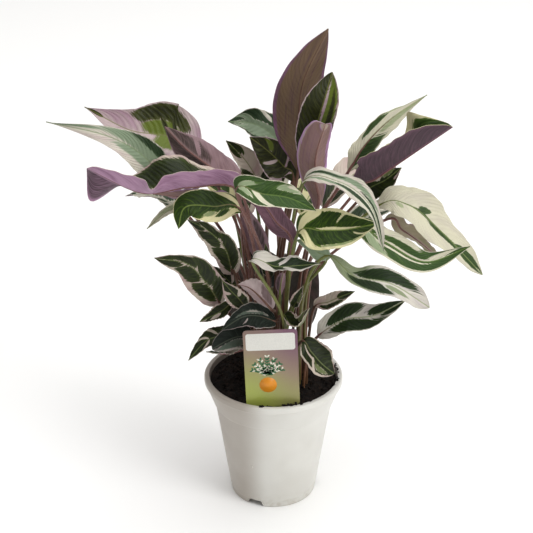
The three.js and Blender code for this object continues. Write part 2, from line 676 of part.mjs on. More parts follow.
// The soil fills the pot, with a lumpy top and a plain hole for each foot and for the label's stake.
function makeSoil() {
  const below = innerWall.filter(([, z]) => z < soil.top);
  const [low, high] = [below.at(-1), innerWall.at(-1)];
  const edgeTop = soil.top - soil.edgeDrop;
  const rise = (edgeTop - low[1]) / (high[1] - low[1]);
  const topRadius = THREE.MathUtils.lerp(low[0], high[0], rise) - clearance;
  const profile = [
    ...innerFloor.map(([r, z]) => [Math.max(0, r - clearance), z + clearance]),
    ...below.map(([r, z], i) => [r - clearance, i ? z : z + clearance]),
    [topRadius, edgeTop],
  ];
  for (let i = soil.rings; i >= 1; i -= 1) {
    profile.push([(topRadius - soil.edgeGap) * (i / soil.rings), soil.top]);
  }
  profile.push([0, soil.top]);
  const geometry = lathe(profile, pot.sides);
  const place = geometry.attributes.position;
  const { broadLumps: broad, fineLumps: fine } = soil;
  for (let i = 0; i < place.count; i += 1) {
    const [x, y, z] = [place.getX(i), place.getY(i), place.getZ(i)];
    if (z > soil.top - soil.edgeDrop / 2) {
      const broadRise = broad.height * Math.sin(broad.x * x + broad.start) * Math.cos(broad.y * y);
      const fineRise = fine.height * Math.sin(fine.x * x - fine.y * y + fine.start);
      place.setZ(i, z + broadRise + fineRise);
    }
  }
  let body = solidOf(geometry);
  for (const given of leaves) {
    const { foot, petiole } = { ...leafDefaults, ...given };
    const radius = (petiole + clearance) / Math.cos(Math.PI / footHole.sides);
    const hole = new THREE.CylinderGeometry(radius, radius, rootDepth + footHole.above, footHole.sides);
    hole.rotateX(Math.PI / 2);
    hole.translate(foot[0], foot[1], soil.top + (footHole.above - rootDepth) / 2 - clearance);
    body = body.subtract(solidOf(hole));
  }
  return geometryOf(body.subtract(solidOf(labelShape(clearance))));
}

// The label: an upright card with round corners on a narrower pointed stake.
function labelShape(grow) {
  const half = label.width / 2 + grow;
  const foot = soil.top + footRise - grow;
  const top = soil.top + label.height + grow;
  const stake = label.stakeWidth / 2 + grow;
  const r = label.corner;
  const outline = new THREE.Shape();
  outline.moveTo(-half + r, foot);
  outline.lineTo(-stake, foot);
  outline.lineTo(-stake, soil.top - label.stakeDepth / 2);
  outline.lineTo(-label.stakeTip / 2 - grow, soil.top - label.stakeDepth - grow);
  outline.lineTo(label.stakeTip / 2 + grow, soil.top - label.stakeDepth - grow);
  outline.lineTo(stake, soil.top - label.stakeDepth / 2);
  outline.lineTo(stake, foot);
  outline.lineTo(half - r, foot);
  outline.absarc(half - r, foot + r, r, -Math.PI / 2, 0, false);
  outline.absarc(half - r, top - r, r, 0, Math.PI / 2, false);
  outline.absarc(-half + r, top - r, r, Math.PI / 2, Math.PI, false);
  outline.absarc(-half + r, foot + r, r, Math.PI, 1.5 * Math.PI, false);
  const depth = label.thickness + 2 * grow;
  const card = new THREE.ExtrudeGeometry(outline, {
    depth, bevelEnabled: false, curveSegments: label.cornerSteps,
  });
  card.translate(0, -soil.top, -depth / 2);
  card.rotateZ(rad(label.turn));
  card.rotateX(Math.PI / 2);
  return card.translate(label.x, label.y, soil.top);
}

addPiece('pot', makePot(), colours.plastic);
addPiece('soil', makeSoil(), colours.peat);
addPiece('label', labelShape(0), colours.card);
for (const leaf of leaves) {
  addPiece(leaf.name, makeLeaf(leaf), colours[leaf.look ?? leafDefaults.look]);
}

export default plant;
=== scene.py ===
import math
import random

import bmesh
import bpy
import numpy as np
from mathutils import Euler, Matrix, Vector


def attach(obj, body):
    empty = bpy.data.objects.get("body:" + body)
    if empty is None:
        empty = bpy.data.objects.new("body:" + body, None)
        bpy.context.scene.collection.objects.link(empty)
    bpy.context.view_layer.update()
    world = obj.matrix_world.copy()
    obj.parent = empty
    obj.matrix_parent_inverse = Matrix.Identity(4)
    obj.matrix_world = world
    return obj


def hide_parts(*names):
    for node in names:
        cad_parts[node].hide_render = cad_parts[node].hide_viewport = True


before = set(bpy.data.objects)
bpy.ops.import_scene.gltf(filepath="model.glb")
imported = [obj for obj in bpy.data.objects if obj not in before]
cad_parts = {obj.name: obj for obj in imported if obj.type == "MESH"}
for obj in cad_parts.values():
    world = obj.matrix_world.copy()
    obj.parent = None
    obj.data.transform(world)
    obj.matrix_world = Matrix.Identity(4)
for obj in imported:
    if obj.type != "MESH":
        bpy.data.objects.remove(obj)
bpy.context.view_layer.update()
mm = 0.001
print("frame loaded:", len(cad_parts), "nodes")


# shader helpers

def colour(red, green, blue):
    # screen colour, 0 to 255, as the linear colour that shaders take
    parts = [c / 255 for c in (red, green, blue)]
    return [c / 12.92 if c < 0.04045 else ((c + 0.055) / 1.055) ** 2.4 for c in parts] + [1]


def colours(look):
    return {key: colour(*value) for key, value in look.items()}


def startMaterial(name, roughness, specular):
    material = bpy.data.materials.new(name)
    material.use_nodes = True
    tree = material.node_tree
    shader = tree.nodes["Principled BSDF"]
    shader.inputs["Roughness"].default_value = roughness
    shader.inputs["Specular IOR Level"].default_value = specular
    return material, tree, shader


def addNode(tree, kind, inputs=None, **settings):
    made = tree.nodes.new("ShaderNode" + kind)
    for key, value in settings.items():
        setattr(made, key, value)
    for key, value in (inputs or {}).items():
        if isinstance(value, bpy.types.NodeSocket):
            tree.links.new(value, made.inputs[key])
        else:
            made.inputs[key].default_value = value
    return made


def sums(operation, *values):
    tree = next(value.id_data for value in values if isinstance(value, bpy.types.NodeSocket))
    return addNode(tree, "Math", dict(enumerate(values)), operation=operation).outputs[0]


def times(first, second):
    return sums("MULTIPLY", first, second)


def plus(total, *others):
    for other in others:
        total = sums("ADD", total, other)
    return total


def flip(value):
    return sums("SUBTRACT", 1, value)


def fade(value, low, high):
    # 0 under low, 1 over high, soft between
    ends = {"Value": value, "From Min": low, "From Max": high}
    return addNode(value.id_data, "MapRange", ends, interpolation_type="SMOOTHSTEP").outputs["Result"]


def wash(paint, shade, mask, strength=1):
    # a coat of another colour over the paint, as strong as the mask
    amount = mask if strength == 1 else times(mask, strength)
    return addNode(mask.id_data, "Mix", {0: amount, 6: paint, 7: shade}, data_type="RGBA").outputs[2]


def grain(vector, scale, detail=3, roughness=0.55):
    ends = {"Vector": vector, "Scale": scale, "Detail": detail, "Roughness": roughness}
    return addNode(vector.id_data, "TexNoise", ends).outputs["Fac"]


def readAttribute(tree, name):
    return addNode(tree, "Attribute", attribute_name=name).outputs["Fac"]


def objectPlace(tree, scale=None):
    place = addNode(tree, "TexCoord").outputs["Object"]
    return addNode(tree, "Mapping", {"Vector": place, "Scale": scale}).outputs[0] if scale else place


def dress(shader, paint, height=None, distance=0, strength=1, gloss=None):
    # colour, and where given relief and roughness
    tree = shader.id_data
    tree.links.new(paint, shader.inputs["Base Color"])
    if height is not None:
        bump = addNode(tree, "Bump", {"Height": height, "Distance": distance, "Strength": strength})
        tree.links.new(bump.outputs["Normal"], shader.inputs["Normal"])
    if gloss is not None:
        tree.links.new(gloss, shader.inputs["Roughness"])


# mesh helpers

def toMesh(name, bm):
    mesh = bpy.data.meshes.new(name)
    bm.to_mesh(mesh)
    bm.free()
    return mesh


def addObject(name, data):
    made = bpy.data.objects.new(name, data)
    bpy.context.scene.collection.objects.link(made)
    return made


def finishPiece(name, bm, materials, node=None, smooth=True):
    # the mesh becomes a piece that rides on the one body, and may stand for a CAD node
    for face in bm.faces:
        face.smooth = smooth
    piece = addObject(name, toMesh(name, bm))
    for material in materials:
        piece.data.materials.append(material)
    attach(piece, "root")
    if node:
        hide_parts(node)


def sharpenRims(bm, angle=40):
    # hard edges stay hard where two faces meet at a steep angle
    for edge in bm.edges:
        if len(edge.link_faces) == 2 and edge.calc_face_angle(0) > math.radians(angle):
            edge.smooth = False


def makeRod(name, sides, tip, cuts, materialIndex=0):
    # a straight round rod, one unit long on Z, cut across so that it can be bent
    bm = bmesh.new()
    bmesh.ops.create_cone(bm, cap_ends=True, segments=sides, radius1=1, radius2=tip, depth=1)
    long = [edge for edge in bm.edges if abs(edge.verts[0].co.z - edge.verts[1].co.z) > 0.5]
    bmesh.ops.subdivide_edges(bm, edges=long, cuts=cuts, use_grid_fill=True)
    for face in bm.faces:
        face.material_index = materialIndex
    return toMesh(name, bm)


# leaves: forms and markings
# blade: four places from foot to tip, in millimetres; face: which way the blade looks at its row
# faceRow; shape: how fast the outline grows and closes; fold and curl: degrees, left and right half;
# wave: height, waves and start; bends and flare: half (0 left, 1 right), place, reach and amount of
# a local change in degrees or in millimetres
# marks: tone, side (-1 left, 1 right, 0 both, seen from the foot), and the middle and reach, first
# along the midrib and then from midrib to margin; later marks lie over earlier ones

soilTop = 130
leafDefaults = dict(
    petiole=1.5, halfWidth=15, faceRow=24, shape=(0.6, 0.95), fold=(10, 10), curl=(10, 10), wave=(2, 2, 0),
    bends=(), flare=(), stem=None, slot="green", upper="deep", under="rose", ground="green", stalk="brown",
)
leafForms = [
    # crown
    dict(name="crown_tall", foot=(3.5, 7.5), blade=[(23, 6, 353), (23, 8, 397), (27, 8, 443), (49, 2, 496)],
         face=(-0.12, 1, 0.1), halfWidth=25, shape=(0.8, 0.95), fold=(10, 14), slot="mauve", under="olive",
         marks=[("cream", 1, 0.3, 0.5, 0.95, 0.1), ("cream", -1, 0.4, 0.6, 0.96, 0.1)]),
    dict(name="crown_green", foot=(7.5, 3),
         blade=[(31, -8, 363), (38, -16, 404), (46, -18, 435), (53, -8, 458)], face=(-0.3, -0.85, 0.4),
         halfWidth=19, shape=(0.6, 0.8), fold=(20, 10), curl=(10, 15), upper="moss",
         marks=[("sage", 1, 0.5, 0.44, 0.5, 0.42), ("green", 1, 0.4, 0.3, 0.6, 0.16),
                ("cream", 1, 0.62, 0.24, 0.14, 0.07), ("cream", 1, 0.3, 0.03, 0.6, 0.3)]),
    dict(name="crown_rolled", foot=(4.5, -8.5),
         blade=[(40, -32, 330), (38, -42, 365), (38, -46, 392), (46, -48, 423)], face=(-0.15, 1, 0.1),
         halfWidth=21, petiole=2.4, shape=(0.5, 0.3), fold=(25, 25), curl=(42, 42), wave=(0, 1, 0),
         slot="mauve", under="umber", stalk="rosy",
         marks=[("sage", 1, 0.6, 0.6, 0.97, 0.14), ("sage", 0, 0.97, 0.05, 0.5, 0.9),
                ("cream", -1, 0.5, 0.6, 0.86, 0.26)]),
    dict(name="rear_left", foot=(-1.5, 17.5),
         blade=[(20, 40, 347), (2, 44, 372), (-19, 46, 386), (-44, 40, 391)], face=(0.2, -0.6, 0.8),
         halfWidth=20, fold=(10, 15), wave=(3, 2.5, 0), upper="grey",
         marks=[("sage", 0, 0.4, 0.5, 0.12, 0.2), ("sage", -1, 0.6, 0.25, 0.5, 0.3),
                ("cream", 1, 0.42, 0.04, 0.75, 0.25), ("sage", 1, 0.7, 0.05, 0.5, 0.4)]),
    dict(name="centre_striped", foot=(0.5, 11.5),
         blade=[(19, 14, 339), (9, 18, 354), (-6, 20, 369), (-23, 20, 383)], face=(-0.2, -0.8, 0.5),
         halfWidth=19, fold=(15, 10), wave=(2, 3, 0), upper="moss", under="plum",
         marks=[("cream", 1, 0.28, 0.045, 0.45, 0.45), ("cream", -1, 0.46, 0.03, 0.4, 0.4),
                ("cream", -1, 0.1, 0.06, 0.6, 0.5), ("sage", 1, 0.62, 0.05, 0.5, 0.4)]),
    dict(name="centre_pale", foot=(-6.5, 19),
         blade=[(-7, 30, 318), (-17, 36, 334), (-28, 40, 351), (-46, 38, 372)], face=(0.3, -0.7, 0.6),
         halfWidth=17, fold=(15, 15), ground="cream",
         marks=[("green", 1, 0.15, 0.14, 0.55, 0.42), ("green", -1, 0.3, 0.2, 0.5, 0.44),
                ("green", 0, 0.85, 0.16, 0.5, 0.5)]),
    # left side
    dict(name="left_high", foot=(-11.5, 13),
         blade=[(-73, 24, 364), (-101, 24, 382), (-137, 20, 390), (-177, 8, 418)], face=(0, -0.75, 0.7),
         halfWidth=32, shape=(0.7, 1.25), fold=(12, 12), curl=(15, 15), wave=(2, 2, 0.3), upper="moss",
         under="lilac", ground="cream", stalk="rosy",
         marks=[("green", 1, 0.3, 0.26, 0.62, 0.4), ("sage", 1, 0.36, 0.2, 0.2, 0.26),
                ("sage", -1, 0.3, 0.14, 0.2, 0.3), ("green", 1, 0.24, 0.03, 0.3, 0.3),
                ("green", 1, 0.34, 0.02, 0.24, 0.24), ("green", 0, 0.95, 0.1, 0.5, 0.8)]),
    dict(name="left_long", foot=(-16, 0.5),
         blade=[(-95, -9, 337), (-118, -17, 375), (-153, -21, 400), (-209, -25, 416)],
         face=(0.05, -0.7, 0.7), halfWidth=17, shape=(0.6, 1.4), fold=(5, 5), wave=(2, 2, 0.1),
         upper="grey", under="plum", ground="cream", stalk="rosy",
         marks=[("sage", 1, 0.32, 0.3, 0.5, 0.5), ("green", 1, 0.2, 0.16, 0.8, 0.3),
                ("sage", -1, 0.34, 0.26, 0.2, 0.3), ("sage", 1, 0.8, 0.2, 0.7, 0.3),
                ("green", -1, 0.1, 0.08, 0.5, 0.4)]),
    dict(name="left_upright", foot=(-11, 4), stem=(-29, 15, 257),
         blade=[(-34, -20, 346), (-58, -18, 367), (-82, -16, 386), (-101, -14, 407)], face=(0.1, 0.9, -0.1),
         halfWidth=18, fold=(15, 15), slot="mauve", under="mink", ground="cream", stalk="rosy",
         marks=[("green", 1, 0.62, 0.42, 0.42, 0.5), ("green", -1, 0.7, 0.34, 0.4, 0.5),
                ("cream", -1, 0.5, 0.03, 0.5, 0.4)]),
    dict(name="left_banded", foot=(-7.5, 8.5),
         blade=[(-9, 8, 323), (-32, 6, 353), (-53, 6, 369), (-74, 6, 385)], face=(0.2, -0.2, 0.9),
         halfWidth=13, fold=(5, -30), slot="cream", upper="moss", under="plum",
         marks=[("cream", 1, 0.4, 0.5, 0.92, 0.14), ("cream", -1, 0.16, 0.1, 0.6, 0.4),
                ("sage", -1, 0.55, 0.4, 0.35, 0.14)]),
    dict(name="left_inner", foot=(-6.5, 13.5),
         blade=[(-17, 18, 314), (-29, 20, 328), (-38, 22, 340), (-54, 24, 353)], face=(0.1, -0.7, 0.7),
         halfWidth=10, fold=(15, 15), wave=(1, 2, 0), faceRow=27, upper="grey", ground="sage",
         stalk="green",
         marks=[("green", 1, 0.3, 0.16, 0.5, 0.44), ("green", -1, 0.5, 0.2, 0.5, 0.44),
                ("cream", 0, 0.1, 0.06, 0.5, 0.5)]),
    dict(name="left_folded", foot=(-12, -9),
         blade=[(-32, -36, 351), (-77, -50, 362), (-121, -56, 359), (-169, -60, 385)], face=(0, 0, 1),
         halfWidth=31, shape=(0.5, 0.6), fold=(50, 15), curl=(5, 0), wave=(1, 2, 0),
         bends=[(0, 0.6, 0.08, -24), (1, 0.48, 0.2, 45), (1, 0.9, 0.12, -105)], flare=[(1, 0.9, 0.08, 12)],
         faceRow=27, slot="mauve", under="lilac", ground="cream", stalk="rosy",
         marks=[("green", 1, 0.36, 0.38, 0.5, 0.45), ("green", 1, 0.86, 0.18, 0.55, 0.9)]),
    dict(name="left_shaded", foot=(-13, -3.5),
         blade=[(-38, -26, 330), (-62, -34, 343), (-85, -38, 347), (-115, -42, 352)], face=(0.1, 0.7, 0.5),
         halfWidth=12, wave=(1, 2, 0), slot="mauve", under="umber", stalk="rosy",
         marks=[("cream", 1, 0.4, 0.32, 0.3, 0.14)]),
    dict(name="left_green", foot=(-7.5, -11.5),
         blade=[(-30, -44, 334), (-56, -54, 344), (-81, -62, 347), (-88, -66, 327)], face=(0, -0.75, 0.7),
         halfWidth=16, fold=(5, -10), upper="vivid", stalk="rosy",
         marks=[("cream", -1, 0.12, 0.2, 0.7, 0.4), ("green", -1, 0.16, 0.07, 0.5, 0.2),
                ("sage", -1, 0.3, 0.05, 0.5, 0.2), ("cream", 1, 0.02, 0.06, 0.6, 0.5)]),
    dict(name="left_sliver", foot=(-24, -8.5), stem=(-26, -6, 236),
         blade=[(-55, -16, 310), (-79, -20, 327), (-100, -26, 326), (-120, -30, 310)], face=(0, -0.6, 0.8),
         halfWidth=7, fold=(20, 20), wave=(1, 2, 0), faceRow=27, slot="cream", upper="pale", under="pale",
         ground="cream", stalk="rosy", marks=[("sage", 1, 0.5, 0.3, 0.4, 0.3)]),
    dict(name="left_drooping", foot=(-7, -19.5), stem=(-37, -16, 252),
         blade=[(-40, -14, 254), (-46, -22, 284), (-61, -26, 305), (-82, -28, 319)], face=(-0.3, -0.8, 0.5),
         halfWidth=14, fold=(15, 15), wave=(2, 3, 0), ground="cream",
         marks=[("green", 1, 0.26, 0.24, 0.46, 0.48), ("green", 1, 0.62, 0.17, 0.46, 0.48),
                ("green", 1, 0.88, 0.11, 0.42, 0.46), ("green", -1, 0.2, 0.2, 0.4, 0.4),
                ("green", -1, 0.54, 0.18, 0.42, 0.42), ("green", -1, 0.82, 0.13, 0.4, 0.42)]),
    dict(name="left_low", foot=(-23, -3.5),
         blade=[(-52, -16, 222), (-65, -26, 250), (-83, -34, 275), (-113, -40, 284)],
         face=(-0.25, -0.7, 0.6), halfWidth=18, fold=(15, 15), wave=(2, 2.5, 0), ground="cream",
         marks=[("green", 1, 0.12, 0.14, 0.46, 0.46), ("green", 1, 0.39, 0.16, 0.48, 0.49),
                ("green", 1, 0.65, 0.135, 0.48, 0.48), ("green", 1, 0.87, 0.11, 0.46, 0.46),
                ("green", -1, 0.2, 0.18, 0.38, 0.4), ("green", -1, 0.52, 0.17, 0.44, 0.44),
                ("green", -1, 0.8, 0.14, 0.44, 0.44)]),
    # right side
    dict(name="right_narrow", foot=(24, 12), stem=(30, 12, 262),
         blade=[(71, 10, 351), (86, 14, 377), (110, 22, 400), (145, 30, 422)], face=(-0.5, -0.45, 0.8),
         halfWidth=13, shape=(0.6, 1.1), fold=(5, -55), curl=(0, -20), slot="cream", upper="pale",
         under="umber", ground="cream", stalk="rosy",
         marks=[("green", -1, 0.4, 0.16, 0.7, 0.26), ("green", 1, 0.22, 0.24, 0.4, 0.5),
                ("sage", 1, 0.72, 0.24, 0.3, 0.24), ("sage", -1, 0.7, 0.24, 0.85, 0.1)]),
    dict(name="right_folded", foot=(27, -5), stem=(33, -6, 258),
         blade=[(77, -12, 340), (96, -18, 357), (124, -24, 381), (163, -30, 413)], face=(-0.3, -0.1, 0.95),
         halfWidth=30, shape=(0.6, 0.6), fold=(10, 66), curl=(10, 12), wave=(2, 2, 0.2),
         bends=[(0, 0.86, 0.12, 50)], flare=[(0, 0.82, 0.08, 14)], slot="mauve", upper="vivid",
         under="plum", stalk="rosy",
         marks=[("cream", -1, 0.6, 0.14, 0.7, 0.4), ("green", -1, 0.8, 0.12, 0.6, 0.5)]),
    dict(name="right_dark", foot=(26, 3), stem=(33, 3, 252),
         blade=[(81, 4, 324), (92, 2, 338), (106, 0, 347), (121, 2, 359)], face=(0.1, -0.7, 0.7),
         under="plum",
         marks=[("cream", -1, 0.5, 0.09, 0.6, 0.42), ("sage", -1, 0.7, 0.1, 0.5, 0.3),
                ("cream", 1, 0.78, 0.1, 0.7, 0.24)]),
    dict(name="right_cream", foot=(32, -1), stem=(37, -4, 250),
         blade=[(96, -20, 327), (126, -26, 333), (160, -24, 303), (203, -12, 252)], face=(0.1, -0.55, 0.8),
         halfWidth=21, shape=(0.7, 0.8), fold=(10, 5), curl=(0, 10), wave=(3, 2.5, 0), slot="cream",
         upper="pale", under="pale", ground="cream", stalk="green",
         marks=[("green", 0, 0.5, 0.5, 0, 0.04), ("green", -1, 0.45, 0.045, 0.2, 0.17),
                ("sage", 1, 0.22, 0.05, 0.2, 0.14), ("green", 1, 0.66, 0.14, 0.14, 0.12),
                ("green", 0, 0.88, 0.12, 0.2, 0.4), ("cream", 0, 0.95, 0.012, 0.2, 1)]),
    dict(name="right_long", foot=(26, -13), stem=(31, -22, 243),
         blade=[(72, -50, 320), (103, -58, 309), (141, -60, 290), (183, -52, 302)], face=(0, -0.8, 0.6),
         halfWidth=13.5, wave=(2, 2.5, 0), upper="fresh", under="pale", stalk="green",
         marks=[("cream", -1, 0.22, 0.24, 0.66, 0.34), ("green", -1, 0.42, 0.2, 0.42, 0.24),
                ("cream", 1, 0.36, 0.34, 0.2, 0.07), ("cream", -1, 0.72, 0.08, 0.5, 0.36),
                ("cream", 1, 0.5, 0.5, 0.95, 0.1), ("sage", 1, 0.16, 0.1, 0.5, 0.4),
                ("cream", -1, 0.55, 0.4, 0.12, 0.06)]),
    dict(name="right_under", foot=(31, 7), stem=(37, 6, 240),
         blade=[(107, 4, 303), (125, 6, 292), (145, 8, 276), (163, 10, 259)], face=(0.2, 0.8, 0.4),
         halfWidth=10, faceRow=27, slot="mauve", upper="grey", ground="sage", stalk="rosy",
         marks=[("green", 0, 0.7, 0.2, 0.5, 0.3)]),
    dict(name="right_waved", foot=(24, -20), stem=(28, -30, 238),
         blade=[(48, -60, 296), (75, -72, 281), (109, -76, 275), (146, -72, 248)], face=(0.1, -0.7, 0.7),
         halfWidth=14, shape=(1.2, 0.7), fold=(15, 10), wave=(3, 2.5, 0), upper="white", under="pale",
         ground="cream", stalk="green",
         marks=[("sage", 0, 0.05, 0.27, 0.4, 1.4), ("green", -1, 0.52, 0.26, 0.46, 0.42),
                ("green", 1, 0.4, 0.2, 0.48, 0.42), ("sage", 1, 0.66, 0.1, 0.36, 0.2)]),
    dict(name="right_inner", foot=(6, -2), stem=(17, -14, 218),
         blade=[(49, -40, 280), (41, -44, 292), (32, -46, 301), (21, -48, 307)], face=(0, -0.7, 0.7),
         halfWidth=8, wave=(1, 2, 0), faceRow=27, upper="grey", under="pale", ground="sage", stalk="green",
         marks=[]),
    dict(name="right_low", foot=(30, -21),
         blade=[(43, -36, 197), (68, -48, 222), (96, -54, 230), (125, -54, 246)], face=(-0.1, -0.7, 0.7),
         wave=(2, 2.5, 0), upper="white", ground="cream", stalk="rosy",
         marks=[("green", -1, 0.26, 0.18, 0.5, 0.46), ("green", -1, 0.72, 0.2, 0.5, 0.46),
                ("green", 1, 0.36, 0.28, 0.56, 0.5), ("green", 1, 0.82, 0.14, 0.5, 0.46)]),
    dict(name="right_small", foot=(33, -12),
         blade=[(40, -16, 218), (53, -18, 225), (65, -18, 231), (79, -16, 236)], face=(0, -0.7, 0.7),
         halfWidth=8, wave=(1, 2, 0), faceRow=27, ground="cream",
         marks=[("green", 0, 0.8, 0.24, 0.4, 0.6), ("green", 1, 0.3, 0.28, 0.6, 0.3)]),
    # front
    dict(name="front_green", foot=(2, -14),
         blade=[(-34, -74, 368), (-9, -78, 367), (14, -78, 363), (38, -74, 349)], face=(0.1, -0.75, 0.65),
         halfWidth=14, fold=(15, 15), upper="fresh", stalk="rosy",
         marks=[("cream", 1, 0.24, 0.05, 0.5, 0.62), ("sage", -1, 0.5, 0.12, 0.66, 0.26),
                ("cream", -1, 0.5, 0.04, 0.86, 0.16), ("sage", 0, 0.1, 0.06, 0.3, 0.3)]),
    dict(name="front_mauve", foot=(0.5, -2.5),
         blade=[(17, -44, 301), (2, -38, 321), (-11, -32, 337), (-27, -28, 340)], face=(-0.2, 0.9, 0.2),
         halfWidth=12, fold=(20, 20), wave=(1, 2, 0), slot="mauve", under="blush", stalk="rosy",
         marks=[("cream", 1, 0.5, 0.3, 0.6, 0.4)]),
    dict(name="front_white", foot=(9.5, -12),
         blade=[(26, -52, 366), (58, -68, 375), (86, -88, 360), (99, -98, 320)], face=(0.35, -0.5, 0.8),
         halfWidth=11, fold=(10, 5), wave=(2, 2.5, 0), slot="cream", upper="grey", under="pale",
         ground="cream", stalk="green",
         marks=[("sage", -1, 0.3, 0.36, 0.5, 0.22), ("sage", 1, 0.32, 0.34, 0.42, 0.2),
                ("green", -1, 0.12, 0.16, 0.5, 0.14), ("green", -1, 0.74, 0.24, 0.24, 0.12),
                ("green", 1, 0.6, 0.38, 0.4, 0.2)]),
    dict(name="front_broad", foot=(10.5, -17),
         blade=[(22, -62, 320), (44, -72, 328), (67, -76, 331), (94, -76, 337)], face=(0, -0.75, 0.65),
         halfWidth=21, upper="vivid", under="pale", stalk="green",
         marks=[("cream", 0, 0.5, 0.6, 0.97, 0.13), ("cream", -1, 0.48, 0.02, 0.7, 0.4),
                ("cream", -1, 0.52, 0.3, 0.08, 0.07), ("cream", 1, 0.7, 0.016, 0.6, 0.4),
                ("cream", 1, 0.05, 0.08, 0.6, 0.6), ("cream", -1, 0.04, 0.08, 0.6, 0.6),
                ("sage", 1, 0.4, 0.3, 0.8, 0.06)]),
    dict(name="front_low", foot=(2, -26.5), stem=(9, -50, 223),
         blade=[(-20, -66, 293), (2, -72, 291), (22, -74, 293), (43, -70, 293)], face=(0.1, -0.2, 0.95),
         halfWidth=12, fold=(15, 10), upper="white", under="pale", stalk="green",
         marks=[("cream", 0, 0.06, 0.16, 0.4, 0.7), ("cream", 1, 0.5, 0.6, 0.95, 0.16),
                ("cream", 1, 0.46, 0.06, 0.5, 0.5), ("cream", -1, 0.36, 0.05, 0.6, 0.45),
                ("cream", -1, 0.62, 0.4, 0.95, 0.14), ("cream", 0, 0.96, 0.06, 0.5, 0.8)]),
    dict(name="inner_mauve", foot=(-4, 4), stem=(-6, 0, 202),
         blade=[(-9, -9, 258), (-15, -8, 283), (-23, -8, 305), (-28, -6, 323)], face=(-0.2, 0.9, 0.2),
         halfWidth=11, fold=(15, 15), wave=(1, 2, 0), faceRow=27, slot="mauve", ground="cream",
         marks=[("green", -1, 0.4, 0.2, 0.5, 0.3)]),
    dict(name="inner_dark", foot=(-3, -9),
         blade=[(-4, -13, 248), (-5, -14, 259), (-6, -13, 271), (-8, -11, 285)], face=(0.1, -1, 0.2),
         halfWidth=7, fold=(12, 12), wave=(1, 2, 0), faceRow=21,
         marks=[("cream", 1, 0.5, 0.5, 0.9, 0.2), ("cream", -1, 0.3, 0.06, 0.6, 0.4)]),
    dict(name="inner_bud", foot=(4, -19),
         blade=[(6, -31, 237), (6, -34, 247), (7, -36, 257), (9, -37, 267)], face=(0, 1, 0.1), halfWidth=7,
         shape=(0.6, 0.6), fold=(25, 25), curl=(45, 45), wave=(0, 1, 0), faceRow=21, slot="mauve",
         ground="cream", stalk="green", marks=[("green", 1, 0.5, 0.3, 0.4, 0.3)]),
    dict(name="inner_folded", foot=(8.5, -21.5),
         blade=[(19, -39, 230), (22, -41, 238), (25, -42, 246), (28, -41, 255)], face=(-0.5, -0.8, 0.3),
         halfWidth=7, fold=(35, 30), wave=(1, 2, 0), faceRow=21, under="umber", stalk="green",
         marks=[("cream", -1, 0.5, 0.5, 0.9, 0.2), ("sage", 1, 0.5, 0.2, 0.4, 0.3)]),
    dict(name="inner_low", foot=(-17, -11.5), stem=(-21, -12, 189),
         blade=[(-33, -7, 232), (-42, -8, 241), (-51, -8, 251), (-61, -7, 259)], face=(-0.4, -0.8, 0.5),
         halfWidth=9, fold=(15, 15), wave=(1.5, 2, 0.3), faceRow=21,
         marks=[("cream", 1, 0.3, 0.05, 0.6, 0.5), ("cream", -1, 0.5, 0.05, 0.6, 0.5),
                ("cream", 1, 0.6, 0.04, 0.6, 0.4)]),
    dict(name="inner_shaded", foot=(5.5, 15.5), stem=(9, 19, 180),
         blade=[(10, 36, 215), (-4, 36, 232), (-20, 35, 247), (-37, 32, 259)], face=(0.2, -0.8, 0.5),
         halfWidth=16, wave=(2, 2, 0.1), faceRow=21, upper="paintedShadeSlate", under="plum",
         marks=[("cream", 1, 0.4, 0.05, 0.6, 0.4), ("cream", -1, 0.6, 0.04, 0.6, 0.4)]),
    # low leaves round the rim
    dict(name="rim_curled", foot=(7, -26.5), stem=(12, -37, 196),
         blade=[(10, -42, 223), (16, -48, 217), (26, -50, 218), (34, -48, 235)], face=(0, -0.4, 0.9),
         halfWidth=12, fold=(35, 35), curl=(30, 30), wave=(0, 2, 0), faceRow=27, under="pale",
         stalk="green",
         marks=[("cream", 0, 0.5, 0.6, 0.94, 0.16), ("cream", 1, 0.26, 0.1, 0.5, 0.4),
                ("sage", -1, 0.7, 0.1, 0.6, 0.3)]),
    dict(name="rim_arched", foot=(-2, -22.5), stem=(5, -29, 210),
         blade=[(2, -46, 219), (-14, -50, 227), (-30, -54, 228), (-50, -56, 215)], face=(0, -0.4, 0.9),
         halfWidth=14, fold=(-10, 5), wave=(1, 2, 0), upper="paintedShadeSlate", under="plum",
         marks=[("sage", 1, 0.44, 0.3, 0.3, 0.14), ("cream", 1, 0.4, 0.14, 0.34, 0.05),
                ("cream", -1, 0.55, 0.02, 0.5, 0.3)]),
    dict(name="rim_left", foot=(-11, -29.5), stem=(-10, -33, 169),
         blade=[(-23, -31, 193), (-31, -34, 196), (-42, -38, 195), (-60, -42, 186)], face=(-0.2, -0.7, 0.7),
         halfWidth=14, shape=(0.5, 0.6), wave=(1, 2, 0), faceRow=27, upper="paintedShadeSlate",
         marks=[("sage", -1, 0.55, 0.34, 0.5, 0.34), ("cream", -1, 0.6, 0.5, 0.96, 0.13)]),
    dict(name="rim_thin", foot=(-16.5, -24),
         blade=[(-27, -34, 181), (-41, -36, 179), (-52, -38, 179), (-66, -38, 181)], face=(0, 0.3, 0.9),
         halfWidth=6, fold=(0, 20), wave=(1, 2, 0), faceRow=27, slot="cream", upper="grey", ground="cream",
         stalk="rosy", marks=[("green", 1, 0.7, 0.2, 0.5, 0.3)]),
    dict(name="rim_long", foot=(-14.5, -19),
         blade=[(-41, -26, 195), (-55, -27, 192), (-68, -29, 186), (-84, -31, 167)], face=(-0.3, -0.6, 0.7),
         halfWidth=10, wave=(1, 2, 0),
         marks=[("cream", 1, 0.3, 0.05, 0.6, 0.4), ("cream", 0, 0.55, 0.035, 0.5, 0.45),
